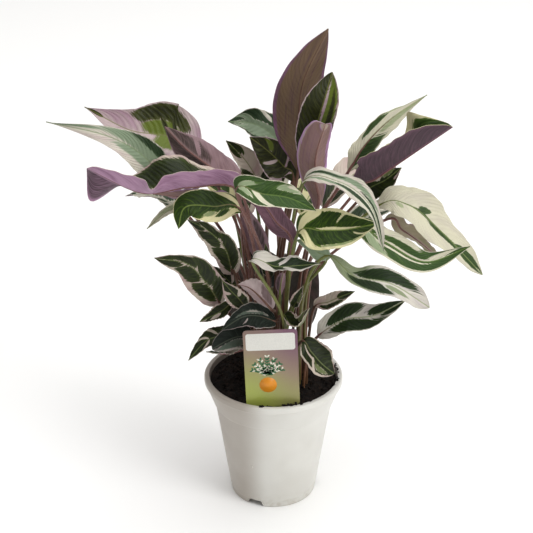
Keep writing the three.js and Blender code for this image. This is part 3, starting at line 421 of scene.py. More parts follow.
                ("cream", -1, 0.2, 0.06, 0.6, 0.4)]),
    dict(name="low_short", foot=(-19.5, -17), stem=(-24, -15, 188),
         blade=[(-37, -24, 226), (-50, -28, 221), (-60, -30, 216), (-72, -32, 211)], face=(-0.2, -0.6, 0.8),
         halfWidth=8, wave=(1, 2, 0), faceRow=27,
         marks=[("cream", -1, 0.5, 0.14, 0.4, 0.36), ("cream", 1, 0.5, 0.6, 0.95, 0.14),
                ("cream", -1, 0.8, 0.04, 0.6, 0.4)]),
    dict(name="low_small", foot=(-3.5, -15.5), stem=(-9, -19, 187),
         blade=[(-27, -32, 226), (-34, -36, 239), (-41, -38, 248), (-49, -40, 260)], face=(-0.4, -0.8, 0.5),
         halfWidth=11, fold=(15, 15), wave=(1, 2, 0), faceRow=27,
         marks=[("cream", 1, 0.4, 0.06, 0.6, 0.5), ("cream", 0, 0.5, 0.7, 0.95, 0.2),
                ("cream", -1, 0.6, 0.05, 0.6, 0.4)]),
    dict(name="low_curled", foot=(-5, -27.5), stem=(1, -23, 209),
         blade=[(-2, -48, 233), (-15, -53, 252), (-24, -55, 261), (-34, -57, 265)], face=(0, 0.8, 0.4),
         halfWidth=12, fold=(20, 20), wave=(1, 2, 0), faceRow=27, slot="mauve", under="ash", ground="cream",
         marks=[("green", -1, 0.16, 0.14, 0.6, 0.5)]),
    dict(name="rim_right", foot=(12, -25),
         blade=[(28, -42, 195), (36, -46, 186), (47, -50, 174), (59, -50, 163)], face=(0.3, -0.6, 0.7),
         halfWidth=16, shape=(0.8, 0.8), faceRow=27,
         marks=[("cream", 1, 0.5, 0.6, 0.95, 0.12), ("cream", 1, 0.3, 0.24, 0.3, 0.07),
                ("cream", -1, 0.5, 0.6, 0.96, 0.1), ("sage", 1, 0.62, 0.14, 0.5, 0.2),
                ("cream", 1, 0.44, 0.03, 0.6, 0.4)]),
    # back
    dict(name="back_1", foot=(32, 14), stem=(38, 14, 240),
         blade=[(68, 17, 285), (102, 31, 299), (135, 49, 298), (164, 60, 290)], face=(-0.1, -0.02, 1),
         halfWidth=19, fold=(12, 12), wave=(3, 2, 0), faceRow=21),
    dict(name="back_2", foot=(25, 19), stem=(32, 22, 250),
         blade=[(49, 38, 300), (78, 68, 322), (104, 100, 318), (129, 125, 300)], face=(-0.08, -0.06, 1),
         halfWidth=22, fold=(10, 15), wave=(3, 2, 0.3), faceRow=21),
    dict(name="back_3", foot=(11, 19), blade=[(28, 53, 285), (42, 91, 299), (53, 130, 286), (66, 162, 262)],
         face=(-0.05, -0.09, 1), halfWidth=21, fold=(15, 10), wave=(3, 2.5, 0.1), faceRow=21),
    dict(name="back_4", foot=(3, 20), stem=(6, 30, 228),
         blade=[(2, 58, 300), (-2, 100, 318), (-10, 142, 311), (-12, 178, 290)], face=(0, -0.1, 1),
         halfWidth=22, fold=(12, 12), wave=(3, 2, 0.5), faceRow=21),
    dict(name="back_5", foot=(-4.5, 24), stem=(-9, 33, 221),
         blade=[(-23, 55, 285), (-43, 89, 302), (-67, 121, 292), (-83, 150, 270)], face=(0.04, -0.09, 1),
         halfWidth=20, fold=(15, 10), wave=(3, 2, 0.2), faceRow=21),
    dict(name="back_6", foot=(-15, 17), stem=(-27, 19, 231),
         blade=[(-43, 48, 300), (-73, 73, 322), (-105, 95, 318), (-130, 117, 300)], face=(0.07, -0.07, 1),
         halfWidth=22, fold=(10, 14), wave=(3, 2, 0.7), faceRow=21),
    dict(name="back_7", foot=(-20, 11),
         blade=[(-82, 17, 300), (-105, 26, 314), (-127, 36, 316), (-146, 42, 312)], face=(0.1, -0.02, 1),
         halfWidth=16, fold=(12, 12), wave=(2, 2, 0.4), faceRow=21),
    # the three hanging back leaves have near-black undersides: painted shade
    dict(name="back_8", foot=(18.5, 17.5),
         blade=[(29, 46, 230), (30, 58, 222), (31, 66, 194), (33, 68, 148)], face=(0.1, 0.8, 0.5),
         halfWidth=17, shape=(0.75, 0.45), fold=(8, 8), wave=(2, 2, 0.1), faceRow=21, under="paintedShadeDusk"),
    dict(name="back_9", foot=(6.5, 29), blade=[(3, 52, 236), (0, 70, 228), (-1, 81, 198), (0, 84, 146)],
         face=(0, 0.8, 0.5), halfWidth=18, shape=(0.75, 0.45), fold=(8, 8), wave=(2, 2, 0.3), faceRow=21,
         under="paintedShadeDusk"),
    dict(name="back_10", foot=(-11, 27),
         blade=[(-26, 46, 228), (-29, 58, 220), (-31, 66, 192), (-33, 68, 148)], face=(-0.1, 0.8, 0.5),
         halfWidth=17, shape=(0.75, 0.45), fold=(8, 8), wave=(2, 2, 0.6), faceRow=21, under="paintedShadeDusk"),
]
backLooks = dict(
    uppers=("deep", "vivid", "grey"), unders=("rose", "lilac", "plum"), stalks=("brown", "green", "rosy"),
)
flameShape = dict(
    first=0.04, jitter=0.06, last=0.9, step=(0.16, 0.24), reach=(0.07, 0.11), middle=0.5, out=(0.38, 0.46),
    fill=0.86,
)

# leaves: colours

upperLooks = {
    "deep": dict(
        ground=(190, 178, 164), tint=(176, 150, 148), dark=(18, 26, 6), light=(66, 80, 26),
        sage=(100, 110, 68), rib=(104, 116, 66),
    ),
    "vivid": dict(
        ground=(214, 208, 160), tint=(202, 196, 160), dark=(24, 44, 4), light=(82, 112, 22),
        sage=(130, 142, 96), rib=(122, 142, 66),
    ),
    "white": dict(
        ground=(206, 201, 190), tint=(190, 182, 178), dark=(17, 32, 9), light=(52, 76, 30),
        sage=(134, 144, 112), rib=(126, 140, 88),
    ),
    "fresh": dict(
        ground=(208, 204, 180), tint=(192, 184, 168), dark=(42, 66, 26), light=(84, 112, 50),
        sage=(142, 156, 122), rib=(96, 122, 56),
    ),
    "moss": dict(
        ground=(186, 168, 168), tint=(168, 138, 152), dark=(28, 30, 10), light=(82, 88, 30),
        sage=(94, 108, 36), rib=(110, 112, 56),
    ),
    "grey": dict(
        ground=(200, 196, 180), tint=(188, 174, 168), dark=(28, 46, 25), light=(76, 98, 64),
        sage=(122, 138, 112), rib=(116, 134, 96),
    ),
    "pale": dict(
        ground=(202, 198, 174), tint=(192, 186, 168), dark=(42, 62, 28), light=(84, 106, 58),
        sage=(158, 166, 130), rib=(126, 140, 86),
    ),
    # a darker, greyer copy of the leaf colours: painted shade for leaves deep in the plant and low round
    # the rim
    "paintedShadeSlate": dict(
        ground=(158, 152, 144), tint=(150, 132, 134), dark=(20, 27, 22), light=(54, 66, 56),
        sage=(84, 96, 84), rib=(76, 84, 70),
    ),
}
underLooks = {
    "lilac": dict(ground=(166, 128, 156), tint=(132, 94, 122), dark=(50, 33, 38), vein=(184, 148, 174)),
    "rose": dict(ground=(144, 118, 124), tint=(122, 92, 102), dark=(48, 38, 36), vein=(158, 128, 136)),
    "mink": dict(ground=(146, 120, 126), tint=(120, 94, 100), dark=(44, 34, 26), vein=(152, 126, 124)),
    "blush": dict(ground=(136, 98, 112), tint=(104, 70, 84), dark=(80, 54, 64), vein=(152, 112, 128)),
    "plum": dict(ground=(98, 68, 84), tint=(66, 46, 58), dark=(54, 38, 46), vein=(124, 84, 104)),
    "olive": dict(ground=(112, 72, 104), tint=(74, 52, 52), dark=(98, 78, 54), vein=(124, 100, 76)),
    "umber": dict(ground=(178, 132, 190), tint=(104, 74, 82), dark=(122, 96, 86), vein=(146, 118, 106)),
    "pale": dict(ground=(176, 170, 146), tint=(150, 148, 124), dark=(98, 108, 80), vein=(190, 184, 162)),
    "ash": dict(ground=(176, 160, 158), tint=(148, 128, 128), dark=(84, 62, 62), vein=(160, 138, 140)),
    # near-black brown underside: painted shade, for the hanging back leaves inside the plant
    "paintedShadeDusk": dict(ground=(58, 40, 38), tint=(44, 34, 28), dark=(40, 34, 22), vein=(70, 50, 40)),
}
stalkLooks = {
    "brown": dict(foot=(104, 76, 50), top=(100, 68, 54), stripe=(58, 38, 30)),
    "rosy": dict(foot=(132, 96, 62), top=(124, 84, 78), stripe=(82, 52, 46)),
    "green": dict(foot=(122, 104, 58), top=(104, 112, 52), stripe=(70, 68, 34)),
}
leafSkin = dict(
    feather=0.9, softness=0.05, marginFrom=0.93, marginTo=0.975, ribWidth=0.9, ribStrength=0.7,
    veinSpacing=6.5, veinWander=5, veinRise=0.00035, roughness=0.4, specular=0.22, glossGrain=0.2,
)
underSkin = dict(
    roughness=0.55, specular=0.35, ribFrom=0.8, ribTo=2.4, patch=0.92, sagePatch=0.6, sage=(158, 156, 112),
    lengthwise=dict(olive=0.9, umber=0.7), plainLengthwise=0.3,
)
stalkSkin = dict(
    roughness=0.45, specular=0.4, lineScale=1400, lineStretch=0.06, blotchScale=60, rise=0.0002,
)


def leafGrains(tree):
    # fine patterns that run out along the side veins, from millimetres on the blade
    vein, out = readAttribute(tree, "veinAt"), readAttribute(tree, "outAt")

    def stretched(alongVein, acrossVein, detail=3):
        ends = {0: times(vein, acrossVein), 1: times(out, alongVein)}
        return grain(addNode(tree, "CombineXYZ", ends).outputs[0], 1, detail)

    return dict(
        streak=stretched(0.09, 0.55), fine=stretched(0.25, 1.9, 2), broad=stretched(0.05, 0.06, 2),
        lengthwise=stretched(0.45, 0.02), cell=stretched(1.6, 2.2, 2), vein=vein, out=out,
    )


def veinWave(grains):
    # 1 on a side vein, -1 half way between two
    turn = times(grains["vein"], 2 * math.pi / leafSkin["veinSpacing"])
    return sums("COSINE", plus(turn, times(grains["broad"], leafSkin["veinWander"])))


def patchMask(tree, name, grains, softness):
    wobble = times(sums("SUBTRACT", grains["streak"], 0.5), leafSkin["feather"])
    ragged = plus(readAttribute(tree, name), wobble)
    return fade(ragged, -softness, softness), ragged


def leafGloss(grains, roughness):
    return plus(times(grains["cell"], leafSkin["glossGrain"]), roughness - leafSkin["glossGrain"] / 2)


def makeUpper(name, look):
    skin, shades = leafSkin, colours(look)
    material, tree, shader = startMaterial(name, skin["roughness"], skin["specular"])
    grains = leafGrains(tree)
    streak, wave = grains["streak"], veinWave(grains)
    greenMask, greenField = patchMask(tree, "green", grains, skin["softness"])
    sageMask, _ = patchMask(tree, "sage", grains, 4 * skin["softness"])
    pale = wash(shades["ground"], shades["tint"], fade(grains["broad"], 0.4, 0.7))
    pale = wash(pale, shades["sage"], fade(streak, 0.55, 0.8), 0.35)
    lightness = plus(
        times(flip(fade(greenField, 0, 0.45)), 0.35), times(fade(grains["fine"], 0.4, 0.75), 0.3),
        times(fade(streak, 0.5, 0.8), 0.6), times(fade(wave, 0.7, 1), 0.16),
    )
    leafGreen = wash(shades["dark"], shades["light"], sums("MINIMUM", lightness, 1))
    paint = wash(wash(pale, shades["sage"], sageMask), leafGreen, greenMask)
    ragged = plus(readAttribute(tree, "edge"), times(sums("SUBTRACT", streak, 0.5), 0.12))
    paint = wash(paint, pale, fade(ragged, skin["marginFrom"], skin["marginTo"]))
    rib = flip(fade(sums("ABSOLUTE", grains["out"]), 0.3, skin["ribWidth"]))
    paint = wash(paint, shades["rib"], rib, skin["ribStrength"])
    height = plus(times(wave, -0.5), times(grains["fine"], 0.8))
    dress(shader, paint, height, skin["veinRise"], 0.8, leafGloss(grains, skin["roughness"]))
    return material


def makeUnder(name, look, lengthwise):
    skin, shades = underSkin, colours(look)
    material, tree, shader = startMaterial(name, skin["roughness"], skin["specular"])
    grains = leafGrains(tree)
    wave, streaks = veinWave(grains), fade(grains["streak"], 0.35, 0.8)
    greenMask, _ = patchMask(tree, "green", grains, 2 * leafSkin["softness"])
    sageMask, _ = patchMask(tree, "sage", grains, 2 * leafSkin["softness"])
    paint = wash(shades["ground"], shades["tint"], fade(grains["broad"], 0.35, 0.65))
    paint = wash(paint, shades["tint"], fade(grains["fine"], 0.5, 0.8), 0.4)
    paint = wash(paint, shades["vein"], streaks, 0.55)
    shade = wash(shades["dark"], shades["tint"], fade(grains["lengthwise"], 0.42, 0.7), lengthwise)
    paint = wash(paint, wash(shade, shades["vein"], streaks, 0.25), greenMask, skin["patch"])
    paint = wash(paint, colour(*skin["sage"]), sageMask, skin["sagePatch"])
    paint = wash(paint, shades["vein"], fade(wave, 0.86, 1), 0.15)
    rib = flip(fade(sums("ABSOLUTE", grains["out"]), skin["ribFrom"], skin["ribTo"]))
    paint = wash(paint, shades["vein"], rib, 0.5)
    paint = wash(paint, shades["ground"], fade(readAttribute(tree, "edge"), 0.8, 0.99), 0.7)
    height = plus(times(wave, 0.25), times(grains["fine"], 0.8))
    dress(shader, paint, height, leafSkin["veinRise"], 0.7, leafGloss(grains, skin["roughness"]))
    return material


def makeStalk(name, look):
    skin, shades = stalkSkin, colours(look)
    material, tree, shader = startMaterial(name, skin["roughness"], skin["specular"])
    lines = grain(objectPlace(tree, (1, 1, skin["lineStretch"])), skin["lineScale"])
    blotch = grain(objectPlace(tree), skin["blotchScale"], 2)
    paint = wash(shades["foot"], shades["top"], fade(readAttribute(tree, "stemAt"), 0.05, 0.4))
    paint = wash(paint, shades["stripe"], fade(lines, 0.45, 0.75))
    paint = wash(paint, shades["stripe"], fade(blotch, 0.5, 0.75), 0.5)
    dress(shader, paint, lines, skin["rise"], 0.8)
    return material


uppers = {key: makeUpper("leafUpper_" + key, look) for key, look in upperLooks.items()}
unders = {
    key: makeUnder("leafUnder_" + key, look, underSkin["lengthwise"].get(key, underSkin["plainLengthwise"]))
    for key, look in underLooks.items()
}
stalks = {key: makeStalk("stalk_" + key, look) for key, look in stalkLooks.items()}
print("leaf materials made")


# leaves: meshes

bladeBuild = dict(
    along=64, across=24, thickness=0.7, edgeThickness=0.4, groove=0.35, grooveReach=1.4, flatCurl=0.05,
    pleat=0.08, ruffle=0.5, ruffleTurns=(7, 11), veinLean=0.1, veinBow=0.12, tipHalfWidth=0.5, calmTip=1.6,
    waveShift=0.35, ruffleShift=0.2, patchPower=2.3, veinApart=90, midribShare=0.02,
)
stalkBuild = dict(
    rings=44, sides=8, ribTip=0.25, ribTaper=0.6, ribSink=0.55, sinkStart=12, footSwell=1.12, footShare=0.5,
    edgeValue=0.5,
)
leafLayers = ("edge", "green", "sage", "veinAt", "outAt", "stemAt")
rootDepth = 14
footRise = 1
stemBow = dict(out=0.26, up=0.58)


def splineAt(points, u):
    # smooth curve through the points; u counts the points passed
    last = len(points) - 1
    i = min(int(u), last - 1)
    w = u - i
    before = points[i - 1] if i > 0 else 2 * points[0] - points[1]
    after = points[i + 2] if i + 2 <= last else 2 * points[last] - points[last - 1]
    start, end = points[i], points[i + 1]
    leave, arrive = (end - before) / 2, (after - start) / 2
    place = (2 * w**3 - 3 * w**2 + 1) * start + (w**3 - 2 * w**2 + w) * leave
    place = place + (3 * w**2 - 2 * w**3) * end + (w**3 - w**2) * arrive
    along = (6 * w**2 - 6 * w) * (start - end) + (3 * w**2 - 4 * w + 1) * leave
    along = along + (3 * w**2 - 2 * w) * arrive
    return place, along / np.linalg.norm(along)


def leafSpine(leaf):
    # places, directions and face normals from root to tip, with the blade's share at the end
    x, y = leaf["foot"]
    foot = np.array([x, y, soilTop + footRise], float)
    blade = [np.array(p, float) for p in leaf["blade"]]
    stem = foot + (blade[0] - foot) * [stemBow["out"], stemBow["out"], stemBow["up"]]
    if leaf["stem"]:
        stem = np.array(leaf["stem"], float)
    points = [np.array([x, y, soilTop - rootDepth], float), foot, stem, *blade]
    rings, along = stalkBuild["rings"], bladeBuild["along"]
    us = [3 * i / rings for i in range(rings)] + [3 + 3 * i / along for i in range(along + 1)]
    places, ways = (np.array(part) for part in zip(*(splineAt(points, u) for u in us)))
    normals = np.zeros_like(places)
    faceRow = rings + leaf["faceRow"]

    def square(normal, way):
        level = normal - way * np.dot(normal, way)
        return level / np.linalg.norm(level)

    normals[faceRow] = square(np.array(leaf["face"], float), ways[faceRow])
    for i in range(faceRow + 1, len(us)):
        normals[i] = square(normals[i - 1], ways[i])
    for i in range(faceRow - 1, -1, -1):
        normals[i] = square(normals[i + 1], ways[i])
    return places, ways, normals


def locally(values, changes, half, s):
    for changedHalf, place, reach, amount in changes:
        values = values + (half == changedHalf) * amount * np.exp(-(((s - place) / reach) ** 2))
    return values


def bladeSheet(leaf, spine, s, v, draw):
    # the blade's middle surface at s along and v across, its outward way, and the fields to paint by
    b = bladeBuild
    places, ways, normals = (part[stalkBuild["rings"]:] for part in spine)
    at = np.rint(s * b["along"]).astype(int)
    point, way, normal = places[at], ways[at], normals[at]
    across = np.cross(way, normal)
    half, side, q = (v > 0).astype(int), np.where(v > 0, 1, -1), np.abs(v)
    rise, fall = leaf["shape"]
    peak = rise / (rise + fall)
    inside = np.clip(s, 0, 1)
    plain = leaf["halfWidth"] * inside**rise * (1 - inside)**fall / (peak**rise * (1 - peak)**fall)
    plain = np.maximum(plain, b["tipHalfWidth"])
    width = np.maximum(locally(plain, leaf["flare"], half, s), b["tipHalfWidth"])
    calm = np.minimum(1, b["calmTip"] * plain / leaf["halfWidth"])
    fold = np.radians(locally(np.array(leaf["fold"], float)[half], leaf["bends"], half, s))
    curl = np.array(leaf["curl"], float)[half]
    curl = np.radians(np.where(curl == 0, b["flatCurl"], curl))
    end = fold + curl * q
    reach = width * (np.sin(end) - np.sin(fold)) / curl
    amplitude, waves, phase = leaf["wave"]
    wave = amplitude * np.sin(2 * np.pi * (waves * s + phase + b["waveShift"] * half)) * q * q * calm
    lift = width * (np.cos(fold) - np.cos(end)) / curl + wave
    turns = draw.uniform(*b["ruffleTurns"])
    ruffle = np.sin(2 * np.pi * (turns * s + draw.random() + b["ruffleShift"] * half))
    lift = lift + b["ruffle"] * ruffle * q**4 * calm
    vein = s - b["veinLean"] * q - b["veinBow"] * q * q
    length = np.linalg.norm(np.diff(places, axis=0), axis=1).sum()
    beat = 2 * np.pi * vein * length / leafSkin["veinSpacing"]
    lift = lift + b["pleat"] * np.cos(beat) * np.sin(np.pi * q) * calm
    lift = lift - b["groove"] * np.exp(-((q * width / b["grooveReach"]) ** 2))
    middle = point + across * (side * reach)[:, None] + normal * lift[:, None]
    tilt = np.where(q > 0, end, 0)
    outward = normal * np.cos(tilt)[:, None] - across * (side * np.sin(tilt))[:, None]
    return middle, outward, dict(edge=q, veinAt=vein * length, outAt=v * width, vein=vein, side=side)


def paintFields(leaf, grown):
    # over 0 inside a patch and under 0 outside it, for the green and for the sage patches
    power = bladeBuild["patchPower"]
    ground = np.ones(len(grown["edge"]))
    fields = {tone: ground if leaf["ground"] == tone else -ground for tone in ("green", "sage")}
    for tone, side, along, alongReach, out, outReach in leaf["marks"]:
        far = np.abs((grown["vein"] - along) / alongReach) ** power
        far = far + np.abs((grown["edge"] - out) / outReach) ** power
        inside = 1 - far ** (1 / power)
        if side:
            onMidrib = grown["edge"] < bladeBuild["midribShare"]
            inside = np.where((grown["side"] == side) | onMidrib, inside, -1)
        for key, field in fields.items():
            if key == tone:
                fields[key] = np.maximum(field, inside)
            elif tone == "cream" or key == "green":
                fields[key] = np.minimum(field, -inside)
    return fields


def backLook(order, draw):
    # the looks take turns, and each leaf has its own flames
    f, turn = flameShape, order % 3
    marks = []
    for side in (-1, 1):
        at = f["first"] + draw.uniform(0, f["jitter"])
        while at < f["last"]:
            if draw.random() < f["fill"]:
                reach, out = draw.uniform(*f["reach"]), draw.uniform(*f["out"])
                marks.append(("green", side, at, reach, f["middle"], out))
            at += draw.uniform(*f["step"])
    return dict(
        upper=backLooks["uppers"][turn], under=backLooks["unders"][turn], stalk=backLooks["stalks"][turn],
        ground="cream", marks=marks,
    )


def bendStalk(bm, leaf, spine, layers):
    # past the blade's foot the stalk is the rib underneath
    places, ways, normals = spine
    b, rings, along = stalkBuild, stalkBuild["rings"], bladeBuild["along"]
    for vert in bm.verts:
        share = vert.co.z + 0.5
        i = round(share * (rings + along))
        up = i / rings if i < rings else 1
        onBlade = max(0, (i - rings) / along)
        radius = leaf["petiole"] * (1 + (b["footSwell"] - 1) * max(0, 1 - up / b["footShare"]))
        if onBlade:
            radius = leaf["petiole"] + (b["ribTip"] - leaf["petiole"]) * onBlade ** b["ribTaper"]
        sink = min(1, onBlade * b["sinkStart"]) * (b["ribSink"] * radius + bladeBuild["groove"])
        across = np.cross(ways[i], normals[i])
        place = places[i] - normals[i] * sink + (across * vert.co.x + normals[i] * vert.co.y) * radius
        vert.co = place * mm
        vert[layers["stemAt"]] = share
        vert[layers["edge"]] = b["edgeValue"]


def makeLeaf(given, order):
    draw = random.Random(100 + order)
    leaf = {**leafDefaults, **(given if "marks" in given else {**backLook(order, draw), **given})}
    spine = leafSpine(leaf)
    bm = bmesh.new()
    bm.from_mesh(straightStalk)
    for key in leafLayers:
        bm.verts.layers.float.new(key)
    layers = {key: bm.verts.layers.float[key] for key in leafLayers}
    bendStalk(bm, leaf, spine, layers)
    sheet = bmesh.ops.create_grid(
        bm, x_segments=bladeBuild["along"], y_segments=bladeBuild["across"], size=0.5,
    )["verts"]
    flat = np.array([vert.co for vert in sheet])
    middle, outward, grown = bladeSheet(leaf, spine, flat[:, 0] + 0.5, 2 * flat[:, 1], draw)
    thick = np.interp(grown["edge"], [0, 1], [bladeBuild["thickness"], bladeBuild["edgeThickness"]]) / 2
    upper = (middle + outward * thick[:, None]) * mm
    lower = (middle - outward * thick[:, None]) * mm
    values = {key: grown[key] for key in ("edge", "outAt")}
    values["veinAt"] = grown["veinAt"] + bladeBuild["veinApart"] * order
    values.update(paintFields(leaf, grown))
    for i, vert in enumerate(sheet):
        vert[layers["stemAt"]] = i
        vert.co = lower[i]
        for key, value in values.items():
            vert[layers[key]] = value[i]
    bottoms = {face for vert in sheet for face in vert.link_faces}
    edges = {edge for vert in sheet for edge in vert.link_edges}
    raised = bmesh.ops.extrude_face_region(bm, geom=[*sheet, *edges, *bottoms], use_keep_orig=True)["geom"]
    for vert in (part for part in raised if isinstance(part, bmesh.types.BMVert)):
        vert.co = upper[round(vert[layers["stemAt"]])]
    tops = {part for part in raised if isinstance(part, bmesh.types.BMFace)}
    bmesh.ops.recalc_face_normals(bm, faces=bm.faces)
    for face in bottoms:
        face.material_index = 1
    for faces in (tops, bottoms):
        for edge in {edge for face in faces for edge in face.edges}:
            edge.smooth = all(other in faces for other in edge.link_faces)
    materials = [uppers[leaf["upper"]], unders[leaf["under"]], stalks[leaf["stalk"]]]
    node = "leaf_" + leaf["name"]
    finishPiece("fine_" + node, bm, materials, node)


straightStalk = makeRod(
    "straightStalk", stalkBuild["sides"], 1, (stalkBuild["rings"] + bladeBuild["along"]) // 2 - 1, 2,
)
for order, given in enumerate(leafForms):
    makeLeaf(given, order)
print("leaves made:", len(leafForms))


# nursery pot

potBuild = dict(
    height=134.5, rimRadius=70, rimInside=65, lipRadius=68.4, lipHeight=7.5, lipUnder=1.2, lipRound=1.5,
    lipInset=0.8, collarRadius=60.5, collarBottom=105.2, collarStep=1.6, bodyRadius=59.2,
    ringHeight=82, ringRadius=55.7, ringStep=0.15, ringRise=0.6, baseRadius=43.5, bandHeight=6.5,
    bandInset=0.6, footRing=1.6, footChamfer=0.8, channelInside=30, channelSlant=1, channelHeight=7,
    wall=1.4, soft=0.9, softShare=0.45, sides=160, roundSteps=4,
)
# the left-side colour, and the x span in millimetres where it fades in, are painted shade
potSkin = dict(
    colour=(216, 215, 209), shade=(206, 204, 197), scuff=(180, 172, 158), paintedLeftShade=(150, 138, 126),
    paintedShadeFrom=-4, paintedShadeTo=-34, dustTop=20, hoopStretch=40, relief=0.00025,
)
notchBuild = dict(
    count=3, turn=-25, footWidth=18, topWidth=12.5, height=6.6, reach=5, round=1.6,
    holeRadius=3.5, holePlace=36.5, holeLength=4.2,
)
gateBuild = dict(turn=245, height=51.5, radius=1.4, tip=0.6, rise=0.5)


def taperAt(z, p):
    # the outside of the wall between the foot and the ring step
    return p["baseRadius"] + (p["ringRadius"] - p["baseRadius"]) * z / p["ringHeight"]


def innerWall(p):
    # the inside of the wall, from the channel up: radius and height
    floor = p["channelHeight"] + p["wall"]
    return [
        (taperAt(floor, p) - p["wall"], floor),
        (p["ringRadius"] - p["wall"], p["ringHeight"]),
        (p["bodyRadius"] - p["wall"], p["collarBottom"] - p["collarStep"]),
        (p["collarRadius"] - p["wall"], p["collarBottom"] + p["collarStep"]),
        (p["rimInside"] - p["lipInset"] / 2, p["height"] - p["lipInset"]),
    ]


def innerFloor(p):
    low = p["channelInside"] - p["wall"]
    return [(0, p["wall"]), (low, p["wall"]), (low + p["channelSlant"], p["channelHeight"] + p["wall"])]


def makePotMaterial(p):
    # off-white plastic, with painted shade that makes its left side warmer and darker, and dust round the
    # foot
    material, tree, shader = startMaterial("potPlastic", 0.36, 0.5)
    place = objectPlace(tree)
    broad, fine = grain(place, 14), grain(place, 900, 2)
    hoops = grain(objectPlace(tree, (1, 1, p["hoopStretch"])), 12)
    x, y, z = addNode(tree, "SeparateXYZ", {0: place}).outputs
    paint = wash(colour(*p["colour"]), colour(*p["shade"]), fade(broad, 0.35, 0.7))
    # painted shade: the pot's left side, turned from the key lamp, is made warmer and darker
    paintedLeftShade = flip(fade(x, p["paintedShadeTo"] * mm, p["paintedShadeFrom"] * mm))
    paint = wash(paint, colour(*p["paintedLeftShade"]), times(paintedLeftShade, plus(times(broad, 0.4), 0.5)))
    dust = times(flip(fade(z, 0, p["dustTop"] * mm)), fade(grain(place, 160), 0.4, 0.7))
    paint = wash(paint, colour(*p["scuff"]), dust, 0.5)
    height = plus(times(fine, 0.25), times(hoops, 0.5))
    dress(shader, paint, height, p["relief"], 0.6, plus(times(broad, 0.2), 0.28))
    return material


def spinProfile(bm, profile, sides):
    # profile of radius and height, turned once round Z
    verts = [bm.verts.new((radius * mm, 0, height * mm)) for radius, height in profile]
    edges = [bm.edges.new(pair) for pair in zip(verts, verts[1:])]
    bmesh.ops.spin(
        bm, geom=verts + edges, cent=(0, 0, 0), axis=(0, 0, 1), angle=2 * math.pi, steps=sides,
        use_merge=True,
    )
    bmesh.ops.remove_doubles(bm, verts=bm.verts, dist=0.01 * mm)
    bmesh.ops.recalc_face_normals(bm, faces=bm.faces)


def softened(corners, soft, most, steps):
    # each inner corner of a profile as a short curve, over at most this share of a side
    corners = [np.array(corner, float) for corner in corners]
    points = [corners[0]]
    for before, here, after in zip(corners, corners[1:], corners[2:]):
        start, end = (
            here + (other - here) * min(soft / np.linalg.norm(other - here), most)
            for other in (before, after)
        )
        for w in np.linspace(0, 1, steps):
            points.append((1 - w) ** 2 * start + 2 * w * (1 - w) * here + w * w * end)
    return points + [corners[-1]]


def makeNotches(p, n):
    # the cutters for the notches in the foot ring and for the drain holes above them
    bm = bmesh.new()
    slope = (n["footWidth"] - n["topWidth"]) / n["height"]
    for i in range(n["count"]):
        turn = Matrix.Rotation(math.radians(n["turn"]) + 2 * math.pi * i / n["count"], 4, "Z")
        block = bmesh.ops.create_cube(bm, size=1)["verts"]
        for vert in block:
            high = vert.co.z > 0
            vert.co.x *= (n["topWidth"] if high else n["footWidth"] + slope * p["wall"]) * mm
            vert.co.y = (n["reach"] * (vert.co.y + 0.5) - p["baseRadius"] - p["footRing"] / 2) * mm
            vert.co.z = (n["height"] if high else -p["wall"]) * mm
        edges = {edge for vert in block for edge in vert.link_edges}
        ridge = [
            edge for edge in edges
            if all(vert.co.z > 0 for vert in edge.verts)
            and abs(edge.verts[0].co.x - edge.verts[1].co.x) < mm
        ]
        bmesh.ops.rotate(bm, verts=block, cent=(0, 0, 0), matrix=turn)
        bmesh.ops.bevel(
            bm, geom=ridge, offset=n["round"] * mm, affect="EDGES", segments=5, profile=0.5, material=-1,
        )
        spot = Matrix.Translation((0, -n["holePlace"] * mm, (p["channelHeight"] + p["wall"] / 2) * mm))
        bmesh.ops.create_cone(
            bm, cap_ends=True, segments=32, radius1=n["holeRadius"] * mm, radius2=n["holeRadius"] * mm,
            depth=n["holeLength"] * mm, matrix=turn @ spot,
        )
    return addObject("notchCutters", toMesh("notchCutters", bm))


